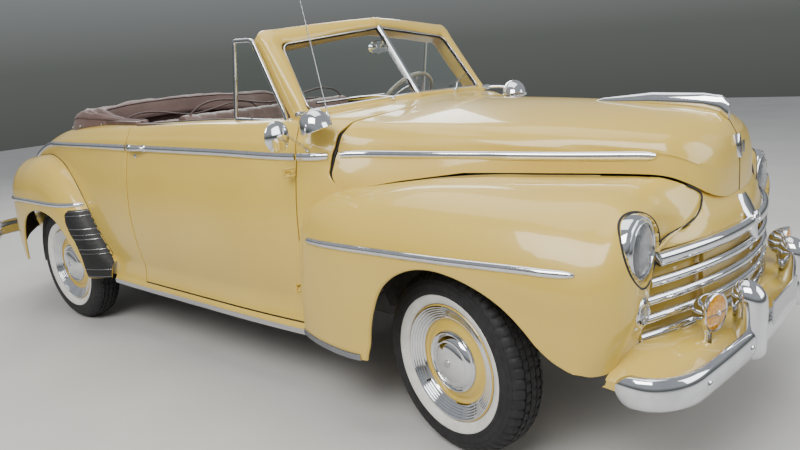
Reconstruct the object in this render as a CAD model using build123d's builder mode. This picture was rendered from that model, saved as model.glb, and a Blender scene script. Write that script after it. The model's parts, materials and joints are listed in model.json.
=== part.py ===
from build123d import *
import os
from math import cos, radians, sin

os.makedirs("parts", exist_ok=True)

# Two-door convertible, late 1940s style. Millimetres, +X forward, +Y the car's left, +Z up.
# Origin: on the ground, midway between the bumpers, on the centre plane.

# ---- driving dimensions -------------------------------------------------
FRONT_AXLE_X = 1599.0
REAR_AXLE_X = -1297.0
HALF_TRACK_F = 736.5
HALF_TRACK_R = 762.0
KINGPIN_Y = 668.0
TYRE_R = 350.0
STEER_REST = -11.0          # the wheels stand turned a little to the car's right
HALF_LENGTH = 2517.0
WALL = 90.0                 # door and side wall, skin to trim
ROOF_T = 34.0               # thickness of hood, deck and lid
GAP = 6.0                   # shut gap
SILL_TOP = 346.0
DOOR_BOTTOM = 352.0
DOOR_FRONT_X = 812.0
DOOR_REAR_X = -480.0
DOOR_HINGE = (800.0, 825.0)
HINGE_Z = (525.0, 1020.0)    # middle of the lower and the upper door hinge
HOOD_HINGE = (930.0, 1216.0)
TRUNK_HINGE = (-1572.0, 1168.0)
FRAME_Z = 300.0             # underside of the frame rails, mid length
RAIL_H = 100.0
FLOOR_Z = 400.0
WHEEL_ARCH_R = 388.0

# Body sections. x, then (z, half width) at the sill, the neck above its flare, the belly, the belt strip
# and the shoulder, then the crown height on the centre plane.
#        x      zb   wb   zn   wn   zm   wm    zs    ws    zt    wt    zc
BODY = (
    (-2345.0, 380, 470, 410, 476, 440, 486, 520, 470, 570, 360, 620),
    (-2230.0, 340, 560, 420, 580, 500, 590, 720, 560, 790, 430, 842),
    (-1960.0, 318, 640, 440, 668, 560, 690, 915, 650, 985, 520, 1040),
    (-1600.0, 318, 700, 450, 732, 580, 752, 1020, 724, 1105, 630, 1160),
    (-1150.0, 318, 735, 460, 774, 600, 800, 1062, 770, 1168, 712, 1222),
    (-850.0, 318, 806, 440, 784, 600, 812, 1069, 778, 1180, 732, 1231),
    (-480.0, 318, 814, 440, 788, 600, 820, 1074, 784, 1188, 748, 1238),
    (250.0, 318, 814, 450, 789, 600, 820, 1083, 782, 1212, 746, 1256),
    (812.0, 318, 800, 462, 764, 620, 788, 1088, 757, 1222, 716, 1258),
    (1060.0, 318, 640, 470, 674, 620, 702, 1087, 626, 1196, 560, 1240),
)
# Hood sections, the same columns; they carry on from the cowl to the nose.
HOOD = (
    (812.0, 800, 776, 870, 775, 940, 772, 1088, 757, 1222, 716, 1258),
    (1060.0, 800, 706, 870, 699, 940, 690, 1087, 626, 1196, 560, 1240),
    (1400.0, 800, 590, 875, 585, 950, 578, 1088, 531, 1182, 468, 1235),
    (1800.0, 800, 470, 875, 468, 950, 464, 1088, 445, 1168, 380, 1221),
    (2124.0, 800, 396, 875, 395, 950, 392, 1082, 372, 1148, 312, 1200),
    (2262.0, 800, 352, 865, 352, 930, 350, 1040, 322, 1110, 244, 1160),
    (2330.0, 800, 205, 850, 208, 900, 212, 990, 200, 1030, 150, 1058),
)
# Height of the seam between hood and fender: x, z
HOOD_SEAM = ((780, 936), (1042, 938), (1242, 972), (1494, 1003), (2130, 1003), (2234, 985), (2292, 925), (2400, 880))
# Front fender sections: x, (y, z) of the inner top edge, the crest, the outer skin and the lower lip.
FRONT_FENDER = (
    (797.0, 700, 395, 780, 420, 822, 385, 812, 340),
    (880.0, 690, 690, 790, 712, 868, 600, 862, 338),
    (1000.0, 640, 850, 790, 868, 908, 740, 898, 334),
    (1170.0, 455, 925, 780, 962, 924, 790, 916, 330),
    (1599.0, 455, 985, 750, 996, 930, 790, 926, 392),
    (1960.0, 402, 984, 710, 985, 916, 770, 908, 440),
    (2150.0, 352, 968, 680, 958, 880, 760, 868, 480),
    (2262.0, 336, 920, 650, 905, 800, 740, 770, 540),
)
# Rear fender sections: x, (y, z) of the crest at the body, the shoulder, the outer skin and the lip.
REAR_FENDER = (
    (-790.0, 700, 395, 790, 425, 824, 385, 832, 336),
    (-880.0, 700, 560, 790, 576, 868, 500, 880, 333),
    (-985.0, 700, 735, 790, 752, 906, 610, 906, 331),
    (-1165.0, 690, 925, 790, 925, 928, 740, 920, 335),
    (-1375.0, 670, 1002, 785, 992, 931, 765, 926, 345),
    (-1600.0, 660, 995, 770, 978, 926, 760, 916, 352),
    (-1800.0, 600, 960, 740, 930, 892, 740, 884, 352),
    (-1960.0, 560, 840, 690, 800, 800, 650, 786, 400),
)
# Wheel openings in side view: x, z along the lip, rear to front
FRONT_ARCH = ((1262, 300), (1272, 345), (1295, 415), (1305, 471), (1330, 554), (1379, 647), (1442, 702), (1527, 740), (1616, 752),
              (1698, 743), (1776, 721), (1851, 686), (1910, 645), (1959, 598), (2008, 544), (2059, 503), (2110, 480))
REAR_ARCH = ((-1750, 300), (-1745, 380), (-1722, 450), (-1680, 545), (-1610, 630), (-1520, 680), (-1400, 704), (-1290, 698),
             (-1180, 665), (-1115, 612), (-1045, 525), (-985, 436), (-925, 347), (-896, 300))


def section_plane(x):
    # local x is the car's Y, local y is its Z
    return Plane(origin=(x, 0, 0), x_dir=(0, 1, 0), z_dir=(1, 0, 0))


def body_ring(x, zb, wb, zn, wn, zm, wm, zs, ws, zt, wt, zc, side=0.0, top=0.0, drop=0.0, bulge=9.0):
    """One closed body section; side, top and drop move the walls, the crown and the bottom inwards or outwards."""
    low = (wb - side, zb - drop)
    neck = (wn - side, zn)
    mid = (wm - side, zm)
    belt = (ws - side, zs)
    over = ((ws + wt) / 2 - side + bulge, (zs + zt) / 2 - top / 2 + bulge)
    shoulder = (wt - side, zt - top)
    crown = (0, zc - top)
    with BuildSketch(section_plane(x)) as ring:
        with BuildLine():
            Line((-low[0], low[1]), low)
            Line(low, neck)
            ThreePointArc(neck, mid, belt)
            ThreePointArc(belt, over, shoulder)
            ThreePointArc(shoulder, crown, (-shoulder[0], shoulder[1]))
            ThreePointArc((-shoulder[0], shoulder[1]), (-over[0], over[1]), (-belt[0], belt[1]))
            ThreePointArc((-belt[0], belt[1]), (-mid[0], mid[1]), (-neck[0], neck[1]))
            Line((-neck[0], neck[1]), (-low[0], low[1]))
        make_face()
    return ring.sketch


def fender_ring(x, yi, zi, yc, zc, yo, zo, yl, zl, inset=0.0, drop=0.0):
    """One closed fender section on the left side; inset moves every wall inwards."""
    inner = (yi + inset, zi - inset)
    crest = (yc, zc - inset)
    outer = (yo - inset, zo)
    lip = (yl - inset, zl - drop)
    knee = (yc + 0.72 * (yo - yc) - 0.7 * inset, zo + 0.70 * (zc - zo) - 0.7 * inset)
    with BuildSketch(section_plane(x)) as ring:
        with BuildLine():
            Line((yi + inset, zl - drop), inner)
            Line(inner, crest)
            ThreePointArc(crest, knee, outer)
            Line(outer, lip)
            Line(lip, (yi + inset, zl - drop))
        make_face()
    return ring.sketch


def side_plate(points, y0, y1, mode=Mode.ADD):
    """A prism with its outline given in X and Z, from y0 to y1."""
    with BuildSketch(Plane(origin=(0, y0, 0), x_dir=(1, 0, 0), z_dir=(0, -1, 0))) as outline:
        with BuildLine():
            Polyline(*points, close=True)
        make_face()
    extrude(outline.sketch, amount=y0 - y1, mode=mode)


def plan_prism(points, z0, z1, mode=Mode.ADD):
    """A prism with its outline given in X and Y, from z0 to z1."""
    with BuildSketch(Plane.XY.offset(z0)) as outline:
        with BuildLine():
            Polyline(*points, close=True)
        make_face()
    extrude(outline.sketch, amount=z1 - z0, mode=mode)


def block(x0, x1, y0, y1, z0, z1, mode=Mode.ADD):
    with Locations(((x0 + x1) / 2, (y0 + y1) / 2, (z0 + z1) / 2)):
        Box(x1 - x0, y1 - y0, z1 - z0, mode=mode)


def rod(a, b, r, mode=Mode.ADD):
    """A round bar from point a to point b."""
    a, b = Vector(a), Vector(b)
    with BuildSketch(Plane(origin=a, z_dir=(b - a).normalized())) as disc:
        Circle(r)
    extrude(disc.sketch, amount=(b - a).length, mode=mode)


def arch_cut(points, low):
    """Cuts a wheel opening through the outer skin of the left side, under the curve of the arch."""
    with BuildSketch(Plane(origin=(0, 800, 0), x_dir=(1, 0, 0), z_dir=(0, -1, 0))) as opening:
        with BuildLine():
            Spline(*points)
            Polyline(points[-1], (points[-1][0], low), (points[0][0], low), points[0])
        make_face()
    extrude(opening.sketch, amount=-300, mode=Mode.SUBTRACT)


def hinge_barrel(z, side, fixed):
    """One exposed door hinge about the door's axis: the door's middle barrel, or the two on the cowl."""
    x, y = DOOR_HINGE[0], side * DOOR_HINGE[1]
    for low, high in (((z + 21, z + 38), (z - 38, z - 21)) if fixed else ((z - 18, z + 18),)):
        rod((x, y, low), (x, y, high), 9)
        if fixed:
            # the leaf passes outside the door's end, then goes down to the cowl
            block(x, 850, min(y + side * 5, side * 792), max(y + side * 5, side * 792), low, high)
            block(826, 850, min(y + side * 5, side * 735), max(y + side * 5, side * 735), low, high)
        else:
            block(764, x, min(y + side * 5, side * 792), max(y + side * 5, side * 792), low, high)
            block(764, 786, min(y + side * 5, side * 735), max(y + side * 5, side * 735), low, high)


def biggest(builder):
    """The builder's largest solid alone, without the slivers that cuts leave."""
    with BuildPart() as kept:
        add(builder.part.solids().sort_by(SortBy.VOLUME)[-1])
    return kept


def save(builder, name):
    builder.part.label = name
    export_step(builder.part, "parts/" + name + ".step")
    print(name, len(builder.part.solids()), round(builder.part.volume))


# ---- body shell ---------------------------------------------------------
with BuildPart() as hull:
    loft([body_ring(*row) for row in BODY])

with BuildPart() as hull_core:
    loft([body_ring(*row, side=WALL, top=ROOF_T, drop=60) for row in BODY[1:-1] + ((1075.0,) + BODY[-1][1:],)])

with BuildPart() as hull_grown:
    loft([body_ring(*row, side=-2.0, top=-2.0, drop=40) for row in BODY])

with BuildPart() as shell:
    add(hull.part)
    add(hull_core.part, mode=Mode.SUBTRACT)

with BuildPart() as hood_outer:
    loft([body_ring(*row) for row in HOOD])

with BuildPart() as hood_core:
    loft([body_ring(*row, side=22, top=22, drop=60) for row in HOOD[:-1] + ((2306.0,) + HOOD[-1][1:],)])

# cut shapes: the doors (left side), the cockpit, the trunk lid
REAR_SLANT = 22.0
FRONT_EDGE = ((812.0, 1400), (812.0, 640), (772.0, DOOR_BOTTOM))
with BuildPart() as door_zone:
    side_plate(
        ((DOOR_REAR_X, 1400), (DOOR_REAR_X, DOOR_BOTTOM), (772, DOOR_BOTTOM), (812, 640), (812, 1400)),
        642.0, 900.0,
    )
    # the rear edge slants so that the inner corner clears the pillar as the door swings
    with BuildSketch(Plane.XY.offset(300), mode=Mode.PRIVATE) as slant:
        with BuildLine():
            Polyline((DOOR_REAR_X - 10, 600), (DOOR_REAR_X + REAR_SLANT, 640), (DOOR_REAR_X, 790), (DOOR_REAR_X - 10, 790), close=True)
        make_face()
    extrude(slant.sketch, amount=1200, mode=Mode.SUBTRACT)

with BuildPart() as door_gap:
    side_plate(
        ((DOOR_REAR_X - GAP, 1400), (DOOR_REAR_X - GAP, DOOR_BOTTOM - GAP), (772 + GAP, DOOR_BOTTOM - GAP), (812 + GAP, 640), (812 + GAP, 1400)),
        636.0, 905.0,
    )
    with BuildSketch(Plane.XY.offset(300), mode=Mode.PRIVATE) as slant2:
        with BuildLine():
            Polyline((DOOR_REAR_X - 20, 600), (DOOR_REAR_X - GAP + REAR_SLANT, 640), (DOOR_REAR_X - GAP, 790), (DOOR_REAR_X - 20, 790), close=True)
        make_face()
    extrude(slant2.sketch, amount=1200, mode=Mode.SUBTRACT)

with BuildPart() as cockpit:
    plan_prism(((640, -612), (640, 612), (560, 660), (-520, 664), (-1080, 610), (-1190, 560),
                (-1190, -560), (-1080, -610), (-520, -664), (560, -660)), 1120, 1500)

LID = ((TRUNK_HINGE[0] - 4, 500), (-2060, 470), (-2500, 380))
with BuildPart() as lid_zone:
    plan_prism(LID + tuple((x, -y) for x, y in reversed(LID)), 600, 1400)
with BuildPart() as lid_gap:
    grown = ((LID[0][0] + GAP, LID[0][1] + GAP), (LID[1][0], LID[1][1] + GAP), (LID[2][0], LID[2][1] + GAP))
    plan_prism(grown + tuple((x, -y) for x, y in reversed(grown)), 600 - GAP, 1400)

with BuildPart() as hood_front_zone:
    # everything ahead of the bowed rear edge of the hood
    with BuildSketch(Plane.XY.offset(700)):
        with BuildLine():
            ThreePointArc((936, -800), (1056, 0), (936, 800))
            Polyline((936, 800), (2500, 800), (2500, -800), (936, -800))
        make_face()
    extrude(amount=700)
with BuildPart() as hood_rear_gap:
    with BuildSketch(Plane.XY.offset(700)):
        with BuildLine():
            ThreePointArc((930, -800), (1050, 0), (930, 800))
            Polyline((930, 800), (2500, 800), (2500, -800), (930, -800))
        make_face()
    extrude(amount=700)
with BuildPart() as hood_upper_zone:
    side_plate(tuple((x, z + 3) for x, z in HOOD_SEAM) + ((2400, 1500), (780, 1500)), -900, 900)

with BuildPart() as hood:
    add(hood_outer.part)
    add(hood_core.part, mode=Mode.SUBTRACT)
    add(hood_front_zone.part, mode=Mode.INTERSECT)
    add(hood_upper_zone.part, mode=Mode.INTERSECT)
    # the long ornament on the crown
    side_plate(((1790, 1216), (1800, 1228), (2007, 1248), (2266, 1232), (2276, 1222), (2274, 1190), (2240, 1176), (2100, 1196), (1900, 1212)), -9, 9)
save(hood, "hood")

with BuildPart() as cowl:
    add(shell.part)
    block(-2600, 640, -1000, 1000, 0, 2000, mode=Mode.SUBTRACT)
    add(door_gap.part, mode=Mode.SUBTRACT)
    mirror(door_gap.part, about=Plane.XZ, mode=Mode.SUBTRACT)
    add(cockpit.part, mode=Mode.SUBTRACT)
    with BuildSketch(Plane.XY.offset(SILL_TOP)) as low_cut:
        Rectangle(4000, 2400)
    extrude(amount=-400, mode=Mode.SUBTRACT)
    # ahead of the hood's edge only the lower cowl side stays
    block(1044, 1200, -900, 900, 0, 1500, mode=Mode.SUBTRACT)
    # firewall
    with BuildSketch(section_plane(940)):
        with BuildLine():
            Polyline((-660, 572), (660, 572), (660, 800), (640, 1120), (520, 1214), (-520, 1214), (-640, 1120), (-660, 800), close=True)
        make_face()
    extrude(amount=14)
    add(hood_rear_gap.part.intersect(hood_upper_zone.part), mode=Mode.SUBTRACT)
    for side in (1, -1):
        for z in HINGE_Z:
            hinge_barrel(z, side, True)
save(cowl, "cowl")

with BuildPart() as door_left:
    add(shell.part)
    add(door_zone.part, mode=Mode.INTERSECT)
    # vent window: frame with the pane in it, on the door's top edge
    with BuildSketch(Plane(origin=(0, 684, 0), x_dir=(1, 0, 0), z_dir=(0, -1, 0))):
        with BuildLine():
            Polyline((346, 1205), (758, 1205), (738, 1262), (500, 1560), (346, 1560), close=True)
        make_face()
    extrude(amount=-14)
    for z in HINGE_Z:
        hinge_barrel(z, 1, False)
save(door_left, "door_left")
with BuildPart() as door_right:
    mirror(door_left.part, about=Plane.XZ)
save(door_right, "door_right")

with BuildPart() as rear_body:
    add(shell.part)
    block(DOOR_REAR_X - 40, 1300, -1000, 1000, 0, 2000, mode=Mode.SUBTRACT)
    add(cockpit.part, mode=Mode.SUBTRACT)
    add(lid_gap.part, mode=Mode.SUBTRACT)
    with BuildSketch(Plane.XY.offset(SILL_TOP)) as low_cut2:
        with Locations((500, 0)):
            Rectangle(2800, 2400)
    extrude(amount=-400, mode=Mode.SUBTRACT)
    # inner wheel houses, then the wheel wells through them
    for side in (1, -1):
        with BuildSketch(Plane(origin=(REAR_AXLE_X, side * 628, TYRE_R), x_dir=(1, 0, 0), z_dir=(0, side, 0))):
            Circle(WHEEL_ARCH_R + 8)
        extrude(amount=90)
    for side in (1, -1):
        with BuildSketch(Plane(origin=(REAR_AXLE_X, side * 636, TYRE_R), x_dir=(1, 0, 0), z_dir=(0, side, 0))):
            Circle(WHEEL_ARCH_R)
        extrude(amount=300, mode=Mode.SUBTRACT)
    block(REAR_AXLE_X - 500, REAR_AXLE_X + 500, -720, 720, -100, 345, mode=Mode.SUBTRACT)
    block(REAR_AXLE_X - 70, REAR_AXLE_X + 90, -720, 720, -100, 470, mode=Mode.SUBTRACT)
save(rear_body, "rear_body")

with BuildPart() as trunk_lid:
    add(shell.part)
    add(lid_zone.part, mode=Mode.INTERSECT)
save(trunk_lid, "trunk_lid")

with BuildPart() as rocker_panels:
    add(shell.part)
    block(-894, 1040, -1000, 1000, 318, SILL_TOP, mode=Mode.INTERSECT)
save(rocker_panels, "rocker_panels")

# ---- fenders ------------------------------------------------------------
with BuildPart() as front_fender_left:
    loft([fender_ring(*row) for row in FRONT_FENDER])
with BuildPart() as front_fender_core:
    loft([fender_ring(*row, inset=10, drop=60) for row in FRONT_FENDER[1:-1] + ((2250.0,) + FRONT_FENDER[-1][1:],)])
LAMP = (2242.0, 665.0, 825.0)
with BuildPart() as front_fender:
    add(front_fender_left.part)
    add(front_fender_core.part, mode=Mode.SUBTRACT)
    add(hull_grown.part, mode=Mode.SUBTRACT)
    # wheel opening through the outer skin
    arch_cut(FRONT_ARCH, 200)
    # seat of the headlamp
    rod((2150, LAMP[1], LAMP[2]), (2400, LAMP[1], LAMP[2]), 118, mode=Mode.SUBTRACT)
    rod((2170, 690, 634), (2400, 690, 634), 54, mode=Mode.SUBTRACT)
    # room for the frame rail, and the cowl side behind
    block(1150, 2330, 330, 411, 300, 526, mode=Mode.SUBTRACT)
    add(cowl.part, mode=Mode.SUBTRACT)
    add(rocker_panels.part, mode=Mode.SUBTRACT)
front_fender = biggest(front_fender)
save(front_fender, "front_fender_left")
with BuildPart() as front_fender_right:
    mirror(front_fender.part, about=Plane.XZ)
save(front_fender_right, "front_fender_right")

with BuildPart() as rear_fender_outer:
    loft([fender_ring(*row) for row in REAR_FENDER])
with BuildPart() as rear_fender_core:
    loft([fender_ring(*row, inset=10, drop=60) for row in REAR_FENDER[1:-1]])
with BuildPart() as rear_fender_left:
    add(rear_fender_outer.part)
    add(rear_fender_core.part, mode=Mode.SUBTRACT)
    add(hull_grown.part, mode=Mode.SUBTRACT)
    arch_cut(REAR_ARCH, 200)
    add(rear_body.part, mode=Mode.SUBTRACT)
    add(rocker_panels.part, mode=Mode.SUBTRACT)
rear_fender_left = biggest(rear_fender_left)
save(rear_fender_left, "rear_fender_left")
with BuildPart() as rear_fender_right:
    mirror(rear_fender_left.part, about=Plane.XZ)
save(rear_fender_right, "rear_fender_right")

# ---- windshield: two flat panes in a thick painted frame, meeting in a shallow V --------
WS_BASE_CENTRE = (871.0, 0.0, 1264.0)
WS_BASE_CORNER = (784.0, 640.0, 1246.0)
WS_TOP_CENTRE = (634.0, 0.0, 1606.0)
WS_FRAME = 30.0             # width of the frame round a pane
WS_BACK = 44.0              # depth of the frame, front to back
along = (Vector(WS_BASE_CORNER) - Vector(WS_BASE_CENTRE)).normalized()
rise = Vector(WS_TOP_CENTRE) - Vector(WS_BASE_CENTRE)
rise = (rise - along * rise.dot(along))
WS_HEIGHT = rise.length
WS_WIDTH = (Vector(WS_BASE_CORNER) - Vector(WS_BASE_CENTRE)).length
ws_plane = Plane(origin=WS_BASE_CENTRE, x_dir=along, z_dir=along.cross(rise).normalized())
with BuildPart() as ws_half:
    with BuildSketch(ws_plane):
        with Locations((WS_WIDTH / 2 - 30, WS_HEIGHT / 2)):
            Rectangle(WS_WIDTH + 60, WS_HEIGHT)
        with Locations((WS_WIDTH / 2 - 8, WS_HEIGHT / 2 - 6)):
            Rectangle(WS_WIDTH - 2 * WS_FRAME - 4, WS_HEIGHT - 2 * WS_FRAME - 14, mode=Mode.SUBTRACT)
    extrude(amount=WS_BACK / 2, both=True)
    block(0, 1500, -600, 0, 1000, 2000, mode=Mode.SUBTRACT)
with BuildPart() as windshield_frame:
    add(ws_half.part)
    mirror(ws_half.part, about=Plane.XZ)
    add(cowl.part, mode=Mode.SUBTRACT)
save(windshield_frame, "windshield_frame")
with BuildPart() as ws_pane:
    with BuildSketch(ws_plane):
        with Locations((WS_WIDTH / 2 - 8, WS_HEIGHT / 2 - 6)):
            Rectangle(WS_WIDTH - 2 * WS_FRAME - 6, WS_HEIGHT - 2 * WS_FRAME - 16)
    extrude(amount=3, both=True)
    block(0, 1500, -600, 14, 1000, 2000, mode=Mode.SUBTRACT)
with BuildPart() as windshield_glass:
    add(ws_pane.part)
    mirror(ws_pane.part, about=Plane.XZ)
    add(windshield_frame.part, mode=Mode.SUBTRACT)
save(windshield_glass, "windshield_glass")

# ---- chassis ------------------------------------------------------------
RAIL_Y = (350.0, 405.0)     # inner and outer face of a frame rail
rail_low = ((2250, 440), (1160, 440), (1000, FRAME_Z), (-800, FRAME_Z), (-980, 452), (-1640, 452), (-1780, 350), (-2222, 350))
rail_outline = rail_low + tuple((x, z + RAIL_H if z < 440 else z + 80) for x, z in reversed(rail_low))
CROSS_MEMBERS = (           # x, width, bottom z, top z
    (2080.0, 60.0, 442.0, 518.0),
    (1880.0, 70.0, 442.0, 518.0),
    (950.0, 60.0, 302.0, 370.0),
    (100.0, 70.0, 302.0, 398.0),
    (-700.0, 70.0, 302.0, 398.0),
    (-1560.0, 60.0, 454.0, 530.0),
    (-2185.0, 60.0, 352.0, 428.0),
)
with BuildPart() as chassis_frame:
    side_plate(rail_outline, RAIL_Y[0], RAIL_Y[1])
    side_plate(rail_outline, -RAIL_Y[1], -RAIL_Y[0])
    for x, width, low, high in CROSS_MEMBERS:
        block(x - width / 2, x + width / 2, -RAIL_Y[0] - 2, RAIL_Y[0] + 2, low, high)
    # body outriggers to the sills
    for x in (760, 60, -640):
        for side in (1, -1):
            block(x - 25, x + 25, min(side * 400, side * 655), max(side * 400, side * 655), 340, 396)
    rod((300, 0, 350), (-900, 0, 350), 43, mode=Mode.SUBTRACT)
save(chassis_frame, "chassis_frame")

with BuildPart() as floor_pan:
    plan_prism(((-796, 650), (770, 646), (930, 560), (930, -560), (770, -646), (-796, -650)), FLOOR_Z, FLOOR_Z + 10)
    # tunnel over the gearbox
    block(390, 930, -150, 150, FLOOR_Z, 565)
    block(350, 1000, -138, 138, FLOOR_Z - 20, 553, mode=Mode.SUBTRACT)
    # step up over the rear axle, and the luggage floor
    block(-806, -796, -600, 600, FLOOR_Z + 6, 560)
    plan_prism(((-796, 600), (-796, -600), (-1880, -586), (-2215, -480), (-2215, 480), (-1880, 586)), 550, 560)
save(floor_pan, "floor_pan")

with BuildPart() as engine_block:
    block(1085, 1800, -245, 245, 560, 1060)
    block(1090, 1400, -130, 130, 372, 562)
    block(430, 1090, -100, 100, 380, 540)
    rod((430, 0, 350 + 55), (400, 0, 350 + 55), 40)
save(engine_block, "engine_block")

with BuildPart() as radiator:
    block(2040, 2110, -270, 270, 540, 1080)
save(radiator, "radiator")

with BuildPart() as fuel_tank:
    block(-2140, -1640, -335, 335, 360, 448)
    fillet(fuel_tank.edges().filter_by(Axis.Y), 20)
save(fuel_tank, "fuel_tank")

EXHAUST_Y, EXHAUST_Z = -290.0, 262.0
with BuildPart() as exhaust:
    rod((1150, -246, 660), (1150, EXHAUST_Y, 660), 24)
    rod((1150, EXHAUST_Y, 684), (1150, EXHAUST_Y, EXHAUST_Z - 22), 22)
    rod((1172, EXHAUST_Y, EXHAUST_Z), (-2400, EXHAUST_Y, EXHAUST_Z), 22)
    rod((-150, EXHAUST_Y, EXHAUST_Z - 22), (-640, EXHAUST_Y, EXHAUST_Z - 22), 52)
save(exhaust, "exhaust")

# ---- axles, knuckles, tie rod ------------------------------------------
SPINDLE_R, PLATE_R, PLATE_W, KINGPIN_R = 22.0, 148.0, (-46.0, -42.0), 10.0
HUB_BORE_R = SPINDLE_R + 0.06
ARM = 140.0                 # steering arm, kingpin to tie rod pin
ROD_Z = 272.0


def turned(deg, forward, out, side):
    """A point given forward and outward of a kingpin, turned with the wheel, in X and Y."""
    c, s = cos(radians(deg)), sin(radians(deg))
    x, y = forward, side * out
    return (FRONT_AXLE_X + x * c - y * s, side * KINGPIN_Y + x * s + y * c)


def spin_plane(side, front):
    """The plane that holds a wheel's spin axis (local x, outward) and the vertical (local y)."""
    if front:
        hub = turned(STEER_REST, 0, HALF_TRACK_F - KINGPIN_Y, side)
        a = radians(STEER_REST)
        axis = (-side * sin(a), side * cos(a), 0)
    else:
        hub = (REAR_AXLE_X, side * HALF_TRACK_R)
        axis = (0, side, 0)
    return Plane(origin=(hub[0], hub[1], TYRE_R), x_dir=axis, z_dir=(axis[1], -axis[0], 0))


with BuildPart() as front_axle:
    block(FRONT_AXLE_X - 24, FRONT_AXLE_X + 24, -600, 600, 288, 340)
    for side in (1, -1):
        with BuildSketch(Plane(origin=(FRONT_AXLE_X, side * 596, 0), x_dir=(1, 0, 0), z_dir=(0, side, 0))) as neck:
            with Locations((0, -side * 350)):
                Rectangle(30, 46)
        extrude(neck.sketch, amount=KINGPIN_Y - 596)
        with Locations((FRONT_AXLE_X, side * KINGPIN_Y, 350)):
            Cylinder(17, 50)
        with Locations((FRONT_AXLE_X, side * KINGPIN_Y, 350)):
            Cylinder(KINGPIN_R + 0.06, 120, mode=Mode.SUBTRACT)
    # cross leaf spring and its shackles
    block(FRONT_AXLE_X - 28, FRONT_AXLE_X + 28, -440, 440, 386, 416)
    for side in (1, -1):
        block(FRONT_AXLE_X - 20, FRONT_AXLE_X + 20, min(side * 420, side * 440), max(side * 420, side * 440), 330, 392)
save(front_axle, "front_axle")

with BuildPart() as rear_axle:
    rod((REAR_AXLE_X, -HALF_TRACK_R + 46, TYRE_R), (REAR_AXLE_X, HALF_TRACK_R - 46, TYRE_R), 40)
    with Locations((REAR_AXLE_X, 0, TYRE_R)):
        Sphere(118)
    rod((398, 0, 350), (REAR_AXLE_X, 0, 350), 36)
    for side in (1, -1):
        plane = spin_plane(side, False)
        hub = plane.origin
        rod((hub.X, hub.Y - side * 46, hub.Z), (hub.X, hub.Y + side * 20, hub.Z), SPINDLE_R)
        rod((hub.X, hub.Y - side * 46, hub.Z), (hub.X, hub.Y - side * 42, hub.Z), PLATE_R)
        block(REAR_AXLE_X + 30, REAR_AXLE_X + 60, min(side * 500, side * 530), max(side * 500, side * 530), 350, 424)
    block(REAR_AXLE_X + 20, REAR_AXLE_X + 74, -540, 540, 414, 440)
save(rear_axle, "rear_axle")

knuckles = {}
for name, side in (("knuckle_left", 1), ("knuckle_right", -1)):
    plane = spin_plane(side, True)
    hub, out = plane.origin, plane.x_dir
    pin = (FRONT_AXLE_X, side * KINGPIN_Y)
    with BuildPart() as knuckle:
        rod(hub + out * -46, hub + out * 20, SPINDLE_R)
        rod(hub + out * -46, hub + out * -42, PLATE_R)
        rod((*pin, 290), (*pin, 412), KINGPIN_R)
        for low, high in ((380, 412), (288, 320)):
            with BuildSketch(Plane(origin=(*pin, low), x_dir=out, z_dir=(0, 0, 1))) as ear:
                Circle(16)
                with Locations((13, 0)):
                    Rectangle(27, 32)
            extrude(ear.sketch, amount=high - low)
        # steering arm and the pin of the tie rod
        end = turned(STEER_REST, -ARM, 0, side)
        with BuildSketch(Plane(origin=(*pin, 288), x_dir=(end[0] - pin[0], end[1] - pin[1], 0), z_dir=(0, 0, 1))) as arm:
            with Locations((ARM / 2, 0)):
                Rectangle(ARM, 22)
            with Locations((ARM, 0)):
                Circle(13)
        extrude(arm.sketch, amount=16)
        rod((*end, 258), (*end, 290), 7)
    knuckles[name] = knuckle
    save(knuckle, name)

with BuildPart() as tie_rod:
    left, right = turned(STEER_REST, -ARM, 0, 1), turned(STEER_REST, -ARM, 0, -1)
    rod((*left, ROD_Z), (*right, ROD_Z), 9)
    for end in (left, right):
        with Locations((*end, ROD_Z)):
            Cylinder(14, 20)
    for end, r in ((left, 7.06), (right, 8.0)):
        with Locations((*end, ROD_Z)):
            Cylinder(r, 60, mode=Mode.SUBTRACT)
save(tie_rod, "tie_rod")

# ---- wheels: rim, dished disc, hub cap and brake drum in one; the tyre apart ----------
RIM = ((-64, 203), (64, 203), (64, 222), (58, 222), (58, 209), (-58, 209), (-58, 222), (-64, 222))
DISC = ((22, 45), (40, 108), (24, 172), (18, 204), (11, 204), (17, 172), (32, 108), (14, 45))
DRUM = ((-37, 136), (-37, 145), (22, 145), (22, 45), (14, 45), (14, 136))
for name, side, front in (("fl", 1, True), ("fr", -1, True), ("rl", 1, False), ("rr", -1, False)):
    plane = spin_plane(side, front)
    spin = Axis(origin=plane.origin, direction=plane.x_dir)
    with BuildPart() as wheel:
        for profile in (RIM, DISC, DRUM):
            with BuildSketch(plane) as ring:
                with BuildLine():
                    Polyline(*profile, close=True)
                make_face()
            revolve(ring.sketch, axis=spin)
        with BuildSketch(plane) as hub_ring:
            with BuildLine():
                Polyline((-36, HUB_BORE_R), (23, HUB_BORE_R), (23, 0), (76, 0))
                ThreePointArc((76, 0), (68, 52), (44, 92))
                Polyline((44, 92), (36, 92), (30, 60), (-36, 60), (-36, HUB_BORE_R))
            make_face()
        revolve(hub_ring.sketch, axis=spin)
    save(wheel, "wheel_" + name)
    with BuildPart() as tyre:
        with BuildSketch(plane) as tyre_ring:
            with BuildLine():
                Polyline((-56, 210), (56, 210), (56, 223.5), (68, 232))
                ThreePointArc((68, 232), (81, 284), (66, 334))
                ThreePointArc((66, 334), (0, TYRE_R), (-66, 334))
                ThreePointArc((-66, 334), (-81, 284), (-68, 232))
                Polyline((-68, 232), (-56, 223.5), (-56, 210))
            make_face()
        revolve(tyre_ring.sketch, axis=spin)
    save(tyre, "tyre_" + name)

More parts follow.
